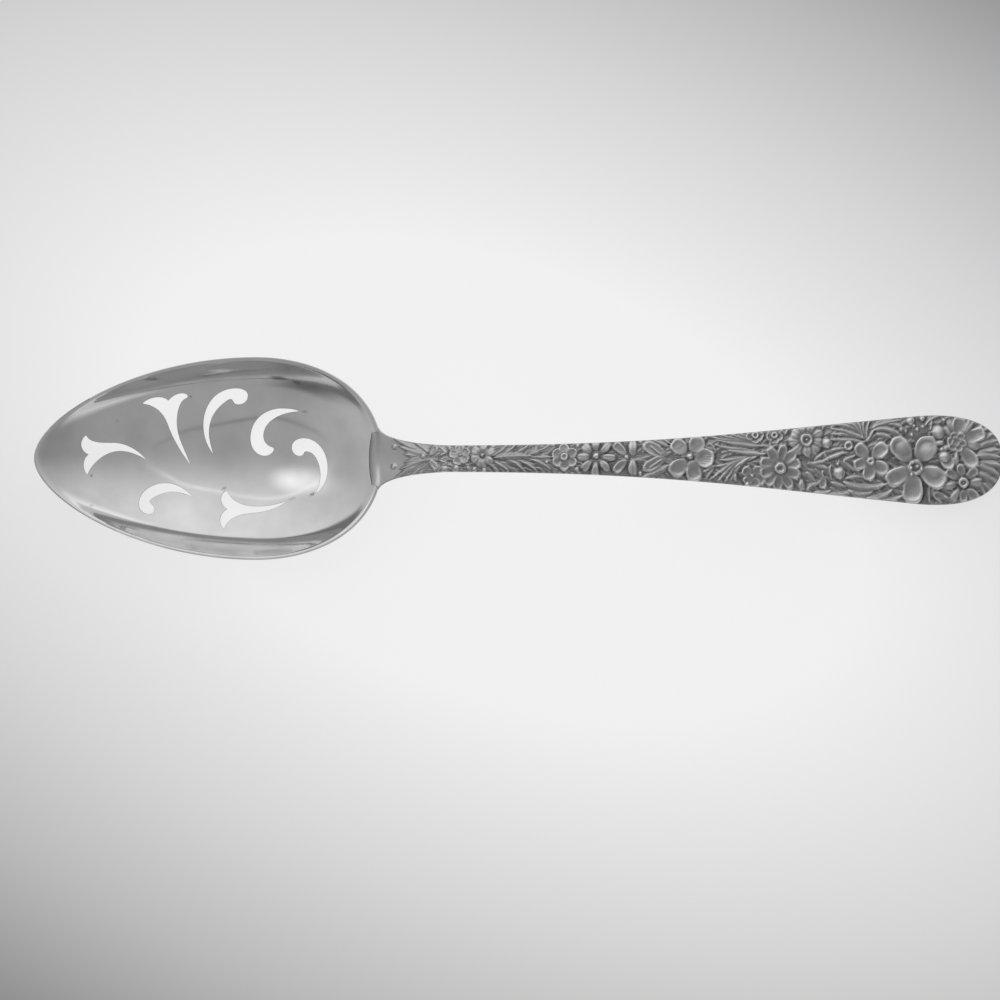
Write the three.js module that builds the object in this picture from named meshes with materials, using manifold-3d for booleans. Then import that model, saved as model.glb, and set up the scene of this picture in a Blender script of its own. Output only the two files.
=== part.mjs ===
// Pierced serving spoon in sterling silver: an egg-shaped pierced bowl and a flat handle
// that is covered on its front with blossoms and leaves in relief.
// Millimetres, +Z up, lying on its belly and on the handle's end. Stations run along +X from
// the bowl's tip, offsets along Y from the centreline, and the group then moves to the origin.
import * as THREE from "three";
import { mergeVertices } from "three/addons/utils/BufferGeometryUtils.js";
import Module from "manifold-3d";

// Driving dimensions of the bowl
const bowlLength = 77.5; // tip to heel, along the rim's closed outline
const bowlWidth = 45.1;
const widestStation = 49.3; // where the bowl is widest, from its tip
const deepestStation = 46; // where the bowl is deepest, from its tip
const bowlDepth = 9.2; // rim to floor at the deepest station
const floorWall = 1.1; // silver at the bowl's floor
const rimWidth = 0.7; // rim edge, seen from above
const rimFall = 0.4; // the rim edge slopes down outwards by this
const tipRise = 1.6; // how far the rim climbs towards the tip
const heelRise = 2; // and towards the heel
const bellyFlat = 0.1; // depth rubbed off the belly, which leaves a flat to stand on

// How full the bowl's outline is, as shares of its half width or of the run to its ends
const tipFullness = 0.38; // low is pointed
const frontEase = 0.445; // how soon the front curve leaves the widest place
const backEase = 0.51; // and the back curve
const heelFullness = 0.68;

// The hollow is a shallow dish, and a steeper wall makes up what the dish leaves to the rim
const dishToTip = 10.4; // climb of the dish from the deepest place to the tip
const dishToHeel = 10.7;
const dishToSide = 5.7;
const dishBlend = 16; // its two lengthwise curves run into each other this far either way
const wallReach = 5.8; // the wall rises over the last run up to the rim ...
const wallSteepness = 1.6; // ... with this power

// Driving dimensions of the handle
const overallLength = 216; // bowl tip to handle end
const neckStation = 92; // narrowest place
const neckWidth = 5.9;
const flareReach = 5.4; // the flare from the tongue's corners is as good as straight after this
const endLength = 20; // round end, from its shoulder on
const shoulderWidth = 19.5;
const widenEase = 0.46; // how far along the run the handle stays as slim as its neck
const widenReach = 37; // it aims from this far before its shoulder ...
const widenWidth = 12.4; // ... and this width straight at the shoulder
const endFullness = 1.07; // the round end swells past the shoulder by this before it closes
const neckThickness = 3.1;
const endThickness = 1.9;
const crown = 0.45; // the front's middle stands above its edges by this
const backCrown = 0.3; // and the back's middle below its edges
const startSlope = 0.56; // rise over run where the handle leaves the bowl
const startEase = 16; // and how far that slope holds
const archStation = 122; // top of the arch in side view
const archHeight = 23; // ground of the relief above the table there
const archEaseBefore = 19; // how far the arch stays level before its top
const archEaseAfter = 30; // and after it
const endHeight = 1.78; // ground of the relief above the table at the handle's end
const endSlope = 0.212; // fall over run there
const endEase = 33; // and how far that slope holds
const reliefHeight = 0.75; // blossoms above the ground

// Driving dimensions of the joint, where the handle's tongue is let into the bowl's heel
const tongueWidth = 11.6; // its bowed front
const tongueReach = 3.15; // that front's middle, ahead of the heel
const tongueBulge = 0.65; // how far the front bows towards the bowl
const cornerWidth = 13.8; // where the tongue's sides leave the bowl's outline
const cornerReach = 0.9; // those corners, ahead of the heel
const tongueDish = 0.8; // the tongue's edges above its middle, to carry on the bowl's hollow
const tongueEdge = 1.7; // silver at the tongue's edges
const dropLength = 10; // rounded drop under the heel, from its middle to either end
const dropWidth = 7;
const dropHeight = 1.5;
const dropSink = 0.35; // share of its height that is sunk into the handle's back

// Where the patterns are set out from
const piercingStation = 45.7; // middle of the piercings, a little off the deepest place
const piercingOffset = -0.2;
const drawnLength = 216; // overall length that the relief's stations are drawn for

// Fineness of the facets
const rimPointsPerCurve = 18;
const floorRings = [0.2, 0.38, 0.54, 0.68, 0.77, 0.85, 0.93, 1];
const bellyRings = [0.2, 0.44, 0.64, 0.77, 0.88, 1];
const plateColumns = 4;
const climbRows = 12;
const descentRows = 20;
const outlinePointsPerCurve = 10;
const cutClearance = 4; // how far cutting tools reach past what they cut

const wasm = await Module();
wasm.setup();

const v2 = (x, y) => new THREE.Vector2(x, y);
const bezier = (a, b, c, d) => new THREE.CubicBezierCurve(v2(...a), v2(...b), v2(...c), v2(...d));
const blend = (low, high, x) => {
  const t = THREE.MathUtils.smoothstep(x, 0, 1);
  return low + (high - low) * t;
};

// Closed meshes as solids, and solids as geometries
function solidOf(geometry) {
  const bare = geometry.clone();
  bare.deleteAttribute("normal");
  bare.deleteAttribute("uv");
  const merged = mergeVertices(bare, 1e-4);
  return new wasm.Manifold(
    new wasm.Mesh({
      numProp: 3,
      vertProperties: merged.attributes.position.array,
      triVerts: new Uint32Array(merged.index.array),
    }),
  );
}

function geometryOf(solid) {
  const mesh = solid.getMesh();
  const geometry = new THREE.BufferGeometry();
  geometry.setAttribute("position", new THREE.BufferAttribute(mesh.vertProperties, 3));
  geometry.setIndex(new THREE.BufferAttribute(mesh.triVerts, 1));
  const flat = geometry.toNonIndexed();
  flat.computeVertexNormals();
  return flat;
}

const joined = (solids) => solids.reduce((all, one) => all.add(one));

// A tall prism over a plan shape, used to cut
function prism(shape, curveSegments) {
  const geometry = new THREE.ExtrudeGeometry(shape, {
    depth: archHeight + 3 * cutClearance,
    bevelEnabled: false,
    curveSegments,
  });
  geometry.translate(0, 0, -cutClearance);
  return solidOf(geometry);
}

// Bowl outline: two curves from tip to widest place to heel, for an inset edge
function bowlEdge(inset) {
  const half = bowlWidth / 2 - inset;
  const tip = inset;
  const heel = bowlLength - inset;
  const behind = heel - widestStation;
  const widest = [widestStation, half];
  const slender = [frontEase * widestStation, half];
  const round = [widestStation + backEase * behind, half];
  const front = bezier([tip, 0], [tip, tipFullness * half], slender, widest);
  const back = bezier(widest, round, [heel, heelFullness * half], [heel, 0]);
  const side = [...front.getPoints(rimPointsPerCurve), ...back.getPoints(rimPointsPerCurve).slice(1)];
  const otherSide = side.slice(1, -1).reverse();
  return [...otherSide.map((p) => v2(p.x, -p.y)), ...side];
}

// Height of the rim over the table, which sags a little between tip and heel
function rimHeight(station) {
  const ahead = (deepestStation - station) / deepestStation;
  const behind = (station - deepestStation) / (bowlLength - deepestStation);
  const sheer = ahead > 0 ? tipRise * ahead ** 2 : heelRise * behind ** 2;
  return floorWall - bellyFlat + bowlDepth + sheer;
}

// Climb of the dish: parabolas along and across, the one along flatter ahead than behind
function dish(station, offset) {
  const x = station - deepestStation;
  const ahead = dishToTip / (deepestStation - rimWidth) ** 2;
  const behind = dishToHeel / (bowlLength - rimWidth - deepestStation) ** 2;
  const across = dishToSide / (bowlWidth / 2 - rimWidth) ** 2;
  const along = blend(ahead, behind, (x + dishBlend) / (2 * dishBlend));
  return along * x ** 2 + across * offset ** 2;
}

// Height of a face of the bowl, at a share of the way out from the deepest point to an edge point
function hollow(share, edgePoint, bottom, rimLoss) {
  const run = edgePoint.x - deepestStation;
  const left = rimHeight(edgePoint.x) - rimLoss - bottom - dish(edgePoint.x, edgePoint.y);
  const climbed = Math.max(0, 1 - ((1 - share) * Math.hypot(run, edgePoint.y)) / wallReach);
  const floor = dish(deepestStation + share * run, share * edgePoint.y);
  return bottom + floor + left * climbed ** wallSteepness;
}

// One face of the bowl, as rings that shrink from an edge to the deepest point
function bowlRings(edge, rings, bottom, rimLoss) {
  return rings.map((share) =>
    edge.map((p) => {
      const x = deepestStation + share * (p.x - deepestStation);
      return [x, share * p.y, hollow(share, p, bottom, rimLoss)];
    }),
  );
}

// A solid from rings that all have the same count, closed over the deepest point at both ends
function closedRings(rings, topHeight, bottomHeight) {
  const count = rings[0].length;
  const points = [[deepestStation, 0, topHeight], ...rings.flat(), [deepestStation, 0, bottomHeight]];
  const faces = [];
  const at = (ring, k) => 1 + ring * count + (k % count);
  for (let k = 0; k < count; k++) {
    faces.push(at(0, k + 1), at(0, k), 0);
    for (let ring = 0; ring + 1 < rings.length; ring++) {
      faces.push(at(ring, k), at(ring, k + 1), at(ring + 1, k));
      faces.push(at(ring, k + 1), at(ring + 1, k + 1), at(ring + 1, k));
    }
    faces.push(points.length - 1, at(rings.length - 1, k), at(rings.length - 1, k + 1));
  }
  const geometry = new THREE.BufferGeometry();
  geometry.setAttribute("position", new THREE.Float32BufferAttribute(points.flat(), 3));
  geometry.setIndex(faces);
  return solidOf(geometry);
}

// The bowl's shell: floor rings out to the rim, over its edge and back under the belly
const belly = () => bowlRings(bowlEdge(0), bellyRings, -bellyFlat, rimFall).reverse();
function bowlShell() {
  const floor = bowlRings(bowlEdge(rimWidth), floorRings, floorWall - bellyFlat, 0);
  return closedRings([...floor, ...belly()], floorWall - bellyFlat, -bellyFlat);
}

// The same belly filled up past its rim, to keep what lies under the bowl out of it
const filledBowl = () => closedRings(belly(), archHeight, -bellyFlat);

// Height of the bowl's floor on the centreline
function floorHeight(station) {
  const heel = v2(bowlLength - rimWidth, 0);
  const share = (station - deepestStation) / (heel.x - deepestStation);
  return hollow(share, heel, floorWall - bellyFlat, 0);
}

// Seven scroll-shaped piercings. Each is a closed run of cubic curves, given as its thin
// end, then two handles and an end for each curve, from the middle of the pattern.
const piercings = {
  tallFleur: [
    [-11.5, -1.2],
    [[-13.4, 1.4], [-15.3, 4.4], [-16.4, 7.6]],
    [[-17.2, 9.9], [-18.7, 12.1], [-22, 12.4]],
    [[-21, 13.6], [-17.8, 14.6], [-16.3, 13.1]],
    [[-15.2, 14.4], [-14, 14.8], [-13, 14.75]],
    [[-11.8, 14.6], [-11.8, 13.9], [-12.4, 13.65]],
    [[-14, 12.9], [-14.5, 10.5], [-14.5, 8.3]],
    [[-14.5, 5], [-12.8, 2.4], [-11.5, -1.2]],
  ],
  tallComma: [
    [-6.5, 1.4],
    [[-7.8, 3], [-8.6, 5.3], [-8.6, 7.6]],
    [[-8.6, 12.3], [-5.6, 15.9], [-1.2, 15.9]],
    [[0.3, 15.9], [1.4, 15.3], [1.4, 14.3]],
    [[1.3, 13.1], [0.4, 12.35], [-0.9, 12.35]],
    [[-1.6, 12.35], [-1.8, 12.9], [-2.05, 13.3]],
    [[-2.3, 13.7], [-2.8, 13.55], [-3.4, 13.1]],
    [[-6.1, 11.3], [-7.3, 8.9], [-7.35, 6.2]],
    [[-7.4, 4.4], [-6.8, 2.8], [-6.5, 1.4]],
  ],
  openScroll: [
    [12.9, 10.8],
    [[11.6, 11.4], [10.2, 11.45], [8.6, 11.45]],
    [[4.6, 11.2], [1.9, 8.4], [1.9, 4.8]],
    [[1.9, 2.6], [3.2, 0.9], [5.1, 0.9]],
    [[6.2, 0.9], [7, 1.7], [7.15, 2.25]],
    [[7.2, 2.8], [6.6, 2.8], [6.2, 3]],
    [[5.2, 3.6], [4.8, 4.4], [4.8, 5.4]],
    [[4.9, 8.4], [8.2, 10.6], [12.9, 10.8]],
  ],
  heelHook: [
    [16.5, -7.6],
    [[18.3, -6.4], [19.3, -4.4], [19.3, -2]],
    [[19.3, 1.9], [16.9, 4.8], [13.8, 4.8]],
    [[12.2, 4.8], [11.2, 3.9], [11.2, 2.7]],
    [[11.2, 1.7], [12.1, 0.8], [13.1, 0.85]],
    [[13.8, 0.9], [13.9, 1.6], [14.2, 1.85]],
    [[16.6, 2.1], [17.7, -1.2], [17.7, -3.6]],
    [[17.6, -5.4], [17.1, -6.6], [16.5, -7.6]],
  ],
  tipFleur: [
    [-21.2, -0.1],
    [[-23.4, 2.4], [-26, 3.65], [-28.6, 3.65]],
    [[-30.6, 3.65], [-33.6, 3.4], [-34.4, 5.3]],
    [[-35.8, 4.4], [-36.1, 2], [-33.9, 1.05]],
    [[-35.4, -0.2], [-35.2, -2.6], [-34.1, -3.5]],
    [[-33.7, -1.8], [-31, 1.8], [-27, 1.85]],
    [[-24.6, 1.85], [-22.8, 0.8], [-21.2, -0.1]],
  ],
  lowComma: [
    [-10.7, -8.6],
    [[-12.2, -6.9], [-14.4, -5.3], [-16.8, -5.3]],
    [[-20.2, -5.3], [-22.8, -7.3], [-22.8, -9.9]],
    [[-22.8, -11.3], [-21.7, -12.2], [-20.5, -12.2]],
    [[-19.4, -12.2], [-19, -11.2], [-19.7, -10.3]],
    [[-20.1, -9.9], [-20.5, -9.7], [-20.4, -9.2]],
    [[-19.2, -8], [-17.2, -7.2], [-15.2, -7.2]],
    [[-13.6, -7.2], [-12, -7.9], [-10.7, -8.6]],
  ],
  lowFleur: [
    [10.2, -9.2],
    [[7.6, -10.2], [5, -10.5], [2.8, -10.45]],
    [[-0.6, -10.3], [-2.4, -8.9], [-3.4, -6.9]],
    [[-5.1, -7.8], [-5, -9.8], [-3.2, -11.1]],
    [[-5.1, -12.1], [-5.2, -14.5], [-3.8, -15.5]],
    [[-3.1, -13.2], [-1, -12.2], [2.4, -11.95]],
    [[5.2, -11.7], [8, -11], [10.2, -9.2]],
  ],
};
const piercingSegments = 6;

function piercingTools() {
  return Object.values(piercings).map(([start, ...curves]) => {
    const shape = new THREE.Shape();
    const placed = ([x, y]) => [piercingStation + x, piercingOffset + y];
    shape.moveTo(...placed(start));
    for (const [a, b, c] of curves) {
      shape.bezierCurveTo(...placed(a), ...placed(b), ...placed(c));
    }
    return prism(shape, piercingSegments);
  });
}

// Handle outline: the tongue's bowed front, a flare to the neck, the long widening, the end
const shoulderStation = overallLength - endLength;
const tongueFront = bowlLength - tongueReach;
const frontEnds = tongueFront + tongueBulge;
const corner = bowlLength - cornerReach;
function handleOutline() {
  const front = tongueWidth / 2;
  const tongue = cornerWidth / 2;
  const neck = neckWidth / 2;
  const shoulder = shoulderWidth / 2;
  const run = shoulderStation - neckStation;
  const shape = new THREE.Shape();
  const half = (sign) => [
    [corner, sign * tongue],
    [
      corner + cornerReach, sign * (tongue + neck) / 2,
      corner + flareReach, sign * neck * 1.14,
      neckStation, sign * neck,
    ],
    [
      neckStation + widenEase * run, sign * neck,
      shoulderStation - widenReach, sign * (widenWidth / 2),
      shoulderStation, sign * shoulder,
    ],
    [
      shoulderStation + endLength / 3, sign * endFullness * shoulder,
      overallLength, sign * endFullness * shoulder,
      overallLength, 0,
    ],
  ];
  const [cornerA, flareA, runA, endA] = half(-1);
  shape.moveTo(frontEnds, -front);
  shape.quadraticCurveTo(corner - 0.3 * cornerReach, -front, ...cornerA);
  shape.bezierCurveTo(...flareA);
  shape.bezierCurveTo(...runA);
  shape.bezierCurveTo(...endA);
  const otherHalf = half(1).slice(1).reverse();
  otherHalf.forEach((curve, k) => {
    const previous = half(1)[2 - k].slice(-2);
    shape.bezierCurveTo(curve[2], curve[3], curve[0], curve[1], ...previous);
  });
  shape.quadraticCurveTo(corner - 0.3 * cornerReach, front, frontEnds, front);
  shape.quadraticCurveTo(frontEnds - 2 * tongueBulge, 0, frontEnds, -front);
  return shape;
}

// Half the handle's width at a station, read off its outline up to the shoulder
const outlinePoints = handleOutline().getPoints(4 * outlinePointsPerCurve).filter((p) => p.y >= 0);
function halfWidth(station) {
  const sorted = outlinePoints.filter((p) => p.x >= corner).sort((a, b) => a.x - b.x);
  const after = sorted.findIndex((p) => p.x >= Math.min(station, shoulderStation));
  if (after <= 0) return cornerWidth / 2;
  const [a, b] = [sorted[after - 1], sorted[after]];
  return THREE.MathUtils.mapLinear(Math.min(station, shoulderStation), a.x, b.x, a.y, b.y);
}

// Side view: ground of the relief from the tongue over the arch to the end
const startHeight = floorHeight(tongueFront);
const climb = bezier(
  [tongueFront, startHeight],
  [tongueFront + startEase, startHeight + startSlope * startEase],
  [archStation - archEaseBefore, archHeight],
  [archStation, archHeight],
);
const descent = bezier(
  [archStation, archHeight],
  [archStation + archEaseAfter, archHeight],
  [overallLength - endEase, endHeight + endSlope * endEase],
  [overallLength, endHeight],
);
const sideView = [...climb.getPoints(climbRows), ...descent.getPoints(descentRows).slice(1)];

// It runs on a little past both ends, for the outline to cut
const runOn = cutClearance / 2;
sideView.unshift(v2(tongueFront - runOn, startHeight - startSlope * runOn));
sideView.push(v2(overallLength + runOn, endHeight - endSlope * runOn));

function groundHeight(station) {
  const after = Math.max(1, sideView.findIndex((p) => p.x >= station));
  const [a, b] = [sideView[after - 1], sideView[after]];
  return THREE.MathUtils.mapLinear(station, a.x, b.x, a.y, b.y);
}

const groundSlope = (station) => Math.atan(groundHeight(station + 0.5) - groundHeight(station - 0.5));

// How far the front's edges stand above its middle: dished at the tongue, crowned beyond
const pastTongue = (station) => (station - tongueFront) / (neckStation - tongueFront);
const pastNeck = (station) => (station - neckStation) / (overallLength - neckStation);
const edgeRise = (station) => blend(tongueDish, -crown, pastTongue(station));
const thickness = (station) => blend(neckThickness, endThickness, pastNeck(station));

// The back's edges rise above its middle, most under the tongue, whose edges are thin
const tongueBackRise = neckThickness + tongueDish - tongueEdge;
const backRise = (station) => blend(tongueBackRise, backCrown, pastTongue(station));

function frontHeight(station, offset) {
  const share = Math.min(1.1, Math.abs(offset) / halfWidth(station));
  return groundHeight(station) + edgeRise(station) * share ** 2;
}

function backHeight(station, offset) {
  const share = Math.min(1.1, Math.abs(offset) / halfWidth(station));
  return groundHeight(station) - thickness(station) + backRise(station) * share ** 2;
}

// The handle's plate before its outline is cut: a front and a back grid, a little too wide
function plate() {
  const stations = sideView.map((p) => p.x);
  const across = 2 * plateColumns + 1;
  const points = [];
  for (const station of stations) {
    const half = halfWidth(station) * 1.1;
    for (const height of [frontHeight, backHeight]) {
      for (let k = 0; k < across; k++) {
        const offset = half * (k / plateColumns - 1);
        points.push(station, offset, height(station, offset));
      }
    }
  }
  const faces = [];
  const at = (row, back, k) => (2 * row + back) * across + k;
  const quad = (a, b, c, d) => faces.push(a, b, c, a, c, d);
  for (let k = 0; k + 1 < across; k++) {
    for (let row = 0; row + 1 < stations.length; row++) {
      quad(at(row, 0, k), at(row + 1, 0, k), at(row + 1, 0, k + 1), at(row, 0, k + 1));
      quad(at(row, 1, k), at(row, 1, k + 1), at(row + 1, 1, k + 1), at(row + 1, 1, k));
    }
    const last = stations.length - 1;
    quad(at(0, 0, k), at(0, 0, k + 1), at(0, 1, k + 1), at(0, 1, k));
    quad(at(last, 0, k), at(last, 1, k), at(last, 1, k + 1), at(last, 0, k + 1));
  }
  for (let row = 0; row + 1 < stations.length; row++) {
    const far = across - 1;
    quad(at(row, 0, 0), at(row, 1, 0), at(row + 1, 1, 0), at(row + 1, 0, 0));
    quad(at(row, 0, far), at(row + 1, 0, far), at(row + 1, 1, far), at(row, 1, far));
  }
  const geometry = new THREE.BufferGeometry();
  geometry.setAttribute("position", new THREE.Float32BufferAttribute(points, 3));
  geometry.setIndex(faces);
  return solidOf(geometry);
}

// Lays a shape on the handle's front at a drawn station and offset, turned in the front's
// plane. The drawn stations stretch with the handle between its neck and its end.
const stretch = (overallLength - neckStation) / (drawnLength - neckStation);
function layOnFront(geometry, drawnStation, offset, turn) {
  const station = neckStation + stretch * (drawnStation - neckStation);
  geometry.rotateZ(turn);
  geometry.rotateY(-groundSlope(station));
  geometry.translate(station, offset, frontHeight(station, offset));
  return solidOf(geometry);
}

// A mound is a low dome that stands out of the ground by its height, its foot sunk below
const sunkShare = 0.25;
function mound(length, width, height, sides) {
  const dome = new THREE.SphereGeometry(1, sides, 4);
  dome.rotateX(Math.PI / 2);
  dome.scale(length / 2, width / 2, height * (1 + sunkShare));
  dome.translate(0, 0, -height * sunkShare);
  return dome;
}

// A blossom is a ring of petals round a raised eye
const petalSides = 7;
const budSides = 7;
function blossom({ station, offset, radius, petals, turn = 0, eye = 0.24, lift = 1 }) {
  const height = reliefHeight * lift;
  const length = radius * (1 - eye * 0.6);
  const width = Math.min(length * 1.15, (2 * Math.PI * radius * 0.66) / petals);
  const solids = [];
  for (let k = 0; k < petals; k++) {
    const angle = turn + (2 * Math.PI * k) / petals;
    const petal = mound(length, width, height, petalSides);
    petal.translate(radius - length / 2, 0, 0);
    solids.push(layOnFront(petal, station, offset, angle));
  }
  const button = mound(2 * radius * eye, 2 * radius * eye, height * 1.25, budSides);
  solids.push(layOnFront(button, station, offset, 0));
  return solids;
}

const blossoms = [
  { station: 94.2, offset: 0.5, radius: 2.2, petals: 5, turn: 0.3 },
  { station: 99.5, offset: 0.1, radius: 2.5, petals: 5, turn: 0.9 },
  { station: 117.4, offset: 0.2, radius: 2.2, petals: 5, turn: 0.2 },
  { station: 124.6, offset: 0.1, radius: 3.1, petals: 8, turn: 0 },
  { station: 131.5, offset: 0, radius: 2.9, petals: 4, turn: 0.8 },
  { station: 145.4, offset: 0, radius: 4.5, petals: 5, turn: 0 },
  { station: 159.9, offset: 4.6, radius: 1.4, petals: 5, turn: 0.5 },
  { station: 164.2, offset: 5, radius: 1.4, petals: 5, turn: 0.1 },
  { station: 165.4, offset: -1.9, radius: 4.7, petals: 8, turn: 0.2 },
  { station: 171.4, offset: 4.1, radius: 3.8, petals: 8, turn: 0.3, eye: 0.3 },
  { station: 185.8, offset: -0.5, radius: 3.9, petals: 5, turn: 0.3 },
  { station: 196, offset: -1.5, radius: 6.5, petals: 5, turn: 0.5, eye: 0.22, lift: 1.2 },
  { station: 205.4, offset: 4.3, radius: 5.1, petals: 9, turn: 0.2, eye: 0.28, lift: 1.1 },
  { station: 206.4, offset: -5.1, radius: 3.8, petals: 7, turn: 0.3, eye: 0.26 },
];

// Buds are single round mounds
const buds = [
  { station: 175.2, offset: -4.6, radius: 1.1 },
  { station: 176.2, offset: 3.7, radius: 1.2 },
  { station: 178.7, offset: -3, radius: 1.5 },
  { station: 200.9, offset: 5.9, radius: 1.8 },
  { station: 202.9, offset: 0.6, radius: 1.7 },
  { station: 192.4, offset: 7.6, radius: 1.1 },
];

function bud({ station, offset, radius }) {
  return layOnFront(mound(2 * radius, 2 * radius, reliefHeight * 1.15, budSides), station, offset, 0);
}

// A leaf is a pointed, keeled mound. A spray fans leaves out from one root.
function leaf(length, width) {
  const height = reliefHeight * 0.8;
  const blade = new THREE.SphereGeometry(1, 4, 4);
  blade.rotateZ(Math.PI / 2);
  blade.scale(length / 2, width / 2, height * (1 + sunkShare));
  blade.translate(length / 2, 0, -height * sunkShare);
  return blade;
}

const sprays = [
  { station: 86.5, offset: 0, toward: Math.PI, spread: 0.42, leaves: 3, length: 6, width: 1.7 },
  { station: 87, offset: 0, toward: 0, spread: 0.5, leaves: 3, length: 5, width: 1.4 },
  { station: 101.5, offset: 0, toward: 0, spread: 0.3, leaves: 3, length: 8, width: 1.7 },
  { station: 114, offset: 0, toward: Math.PI, spread: 0.5, leaves: 2, length: 5, width: 1.4 },
  { station: 139.6, offset: 0, toward: Math.PI, spread: 0.5, leaves: 4, length: 5.4, width: 1.8 },
  { station: 161.5, offset: 1.4, toward: Math.PI, spread: 0.28, leaves: 3, length: 11.5, width: 1.7 },
  { station: 159, offset: -1, toward: Math.PI + 0.5, spread: 0.3, leaves: 3, length: 8, width: 1.8 },
  { station: 182, offset: 2.4, toward: 0.9, spread: 0.42, leaves: 4, length: 5.6, width: 1.5 },
  { station: 181, offset: 2.2, toward: 2.5, spread: 0.36, leaves: 3, length: 5, width: 1.4 },
  { station: 176.5, offset: -5, toward: -0.12, spread: 0.22, leaves: 3, length: 13, width: 1.8 },
  { station: 198.5, offset: -6.5, toward: 0, spread: 0.5, leaves: 3, length: 5, width: 1.6 },
  { station: 208.5, offset: -0.6, toward: 0, spread: 0.55, leaves: 4, length: 6.5, width: 1.9 },
];

function spray({ station, offset, toward, spread, leaves, length, width }) {
  const solids = [];
  for (let k = 0; k < leaves; k++) {
    const angle = toward + spread * (k - (leaves - 1) / 2);
    solids.push(layOnFront(leaf(length, width), station, offset, angle));
  }
  return solids;
}

// The drop: a rounded swelling under the heel, where the handle laps the bowl's belly
function heelDrop() {
  const swelling = new THREE.SphereGeometry(1, 12, 8);
  const middle = bowlLength + 1;
  const back = groundHeight(middle) - thickness(middle);
  swelling.rotateX(Math.PI / 2);
  swelling.scale(dropLength, dropWidth / 2, dropHeight);
  swelling.rotateY(-groundSlope(tongueFront + 1));
  swelling.translate(middle, 0, back + dropSink * dropHeight);
  return solidOf(swelling);
}

// Everything below the table is rubbed off, which leaves the two flats that the spoon rests on
function table() {
  const slab = new THREE.BoxGeometry(2 * overallLength, 2 * bowlWidth, 2 * cutClearance);
  slab.translate(overallLength / 2, 0, -cutClearance);
  return solidOf(slab);
}

const plan = prism(handleOutline(), outlinePointsPerCurve);
const bowlSolid = bowlShell().subtract(plan).subtract(joined(piercingTools())).subtract(table());
const relief = joined([...blossoms.flatMap(blossom), ...buds.map(bud), ...sprays.flatMap(spray)]);
const handleSolid = plate()
  .add(relief)
  .intersect(plan)
  .add(heelDrop().subtract(filledBowl()))
  .subtract(table());

const polishedSilver = new THREE.MeshStandardMaterial({ color: 0xc9c9c7, roughness: 0.16, metalness: 1 });
const oxidisedSilver = new THREE.MeshStandardMaterial({ color: 0x9b9a98, roughness: 0.34, metalness: 1 });

const bowl = new THREE.Mesh(geometryOf(bowlSolid), polishedSilver);
bowl.name = "bowl";
const handle = new THREE.Mesh(geometryOf(handleSolid), oxidisedSilver);
handle.name = "handle";

const spoon = new THREE.Group();
spoon.add(bowl, handle);
spoon.position.x = -overallLength / 2;

export default spoon;
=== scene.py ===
import math

import bpy
import numpy as np
from mathutils.geometry import delaunay_2d_cdt
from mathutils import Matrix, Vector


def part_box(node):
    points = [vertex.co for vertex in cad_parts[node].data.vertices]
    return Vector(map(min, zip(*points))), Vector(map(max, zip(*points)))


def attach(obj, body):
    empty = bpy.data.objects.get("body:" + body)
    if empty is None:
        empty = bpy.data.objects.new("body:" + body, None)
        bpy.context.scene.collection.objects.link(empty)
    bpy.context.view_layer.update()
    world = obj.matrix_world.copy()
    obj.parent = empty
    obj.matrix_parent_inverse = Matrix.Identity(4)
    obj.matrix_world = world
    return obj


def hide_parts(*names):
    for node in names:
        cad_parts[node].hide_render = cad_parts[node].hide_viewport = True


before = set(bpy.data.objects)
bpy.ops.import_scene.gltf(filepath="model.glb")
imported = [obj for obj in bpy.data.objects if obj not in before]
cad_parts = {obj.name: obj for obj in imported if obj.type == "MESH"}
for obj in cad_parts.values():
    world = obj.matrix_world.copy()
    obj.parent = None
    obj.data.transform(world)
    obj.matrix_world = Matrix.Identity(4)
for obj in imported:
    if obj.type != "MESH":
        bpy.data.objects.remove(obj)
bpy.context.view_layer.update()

# Lengths are millimetres. Stations run along the spoon from the bowl's tip, offsets sideways
# from its centreline and heights up from the table. Only the finished mesh is in metres.
mm = 0.001
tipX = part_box("bowl")[0].x
spoonLength = (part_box("handle")[1].x - tipX) / mm
print("frame loaded, spoon length", round(spoonLength, 2), "mm")


def ease(low, high, x):
    # 0 up to low, 1 from high on and a smooth S between them
    t = np.clip((x - low) / (high - low), 0, 1)
    return t * t * (3 - 2 * t)


def cubic(start, handleA, handleB, end, count):
    # a cubic curve: its ends and handles weighed by the powers of t and 1 - t
    t = np.linspace(0, 1, count)[:, None]
    a, b, c, d = (np.array(p, float) for p in (start, handleA, handleB, end))
    return (1 - t) ** 3 * a + 3 * (1 - t) ** 2 * t * b + 3 * (1 - t) * t * t * c + t ** 3 * d


def softMin(a, b, width):
    # the lower of two heights, with their crossing rounded over a width
    t = np.clip(0.5 + 0.5 * (b - a) / width, 0, 1)
    return b * (1 - t) + a * t - width * t * (1 - t)


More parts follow.
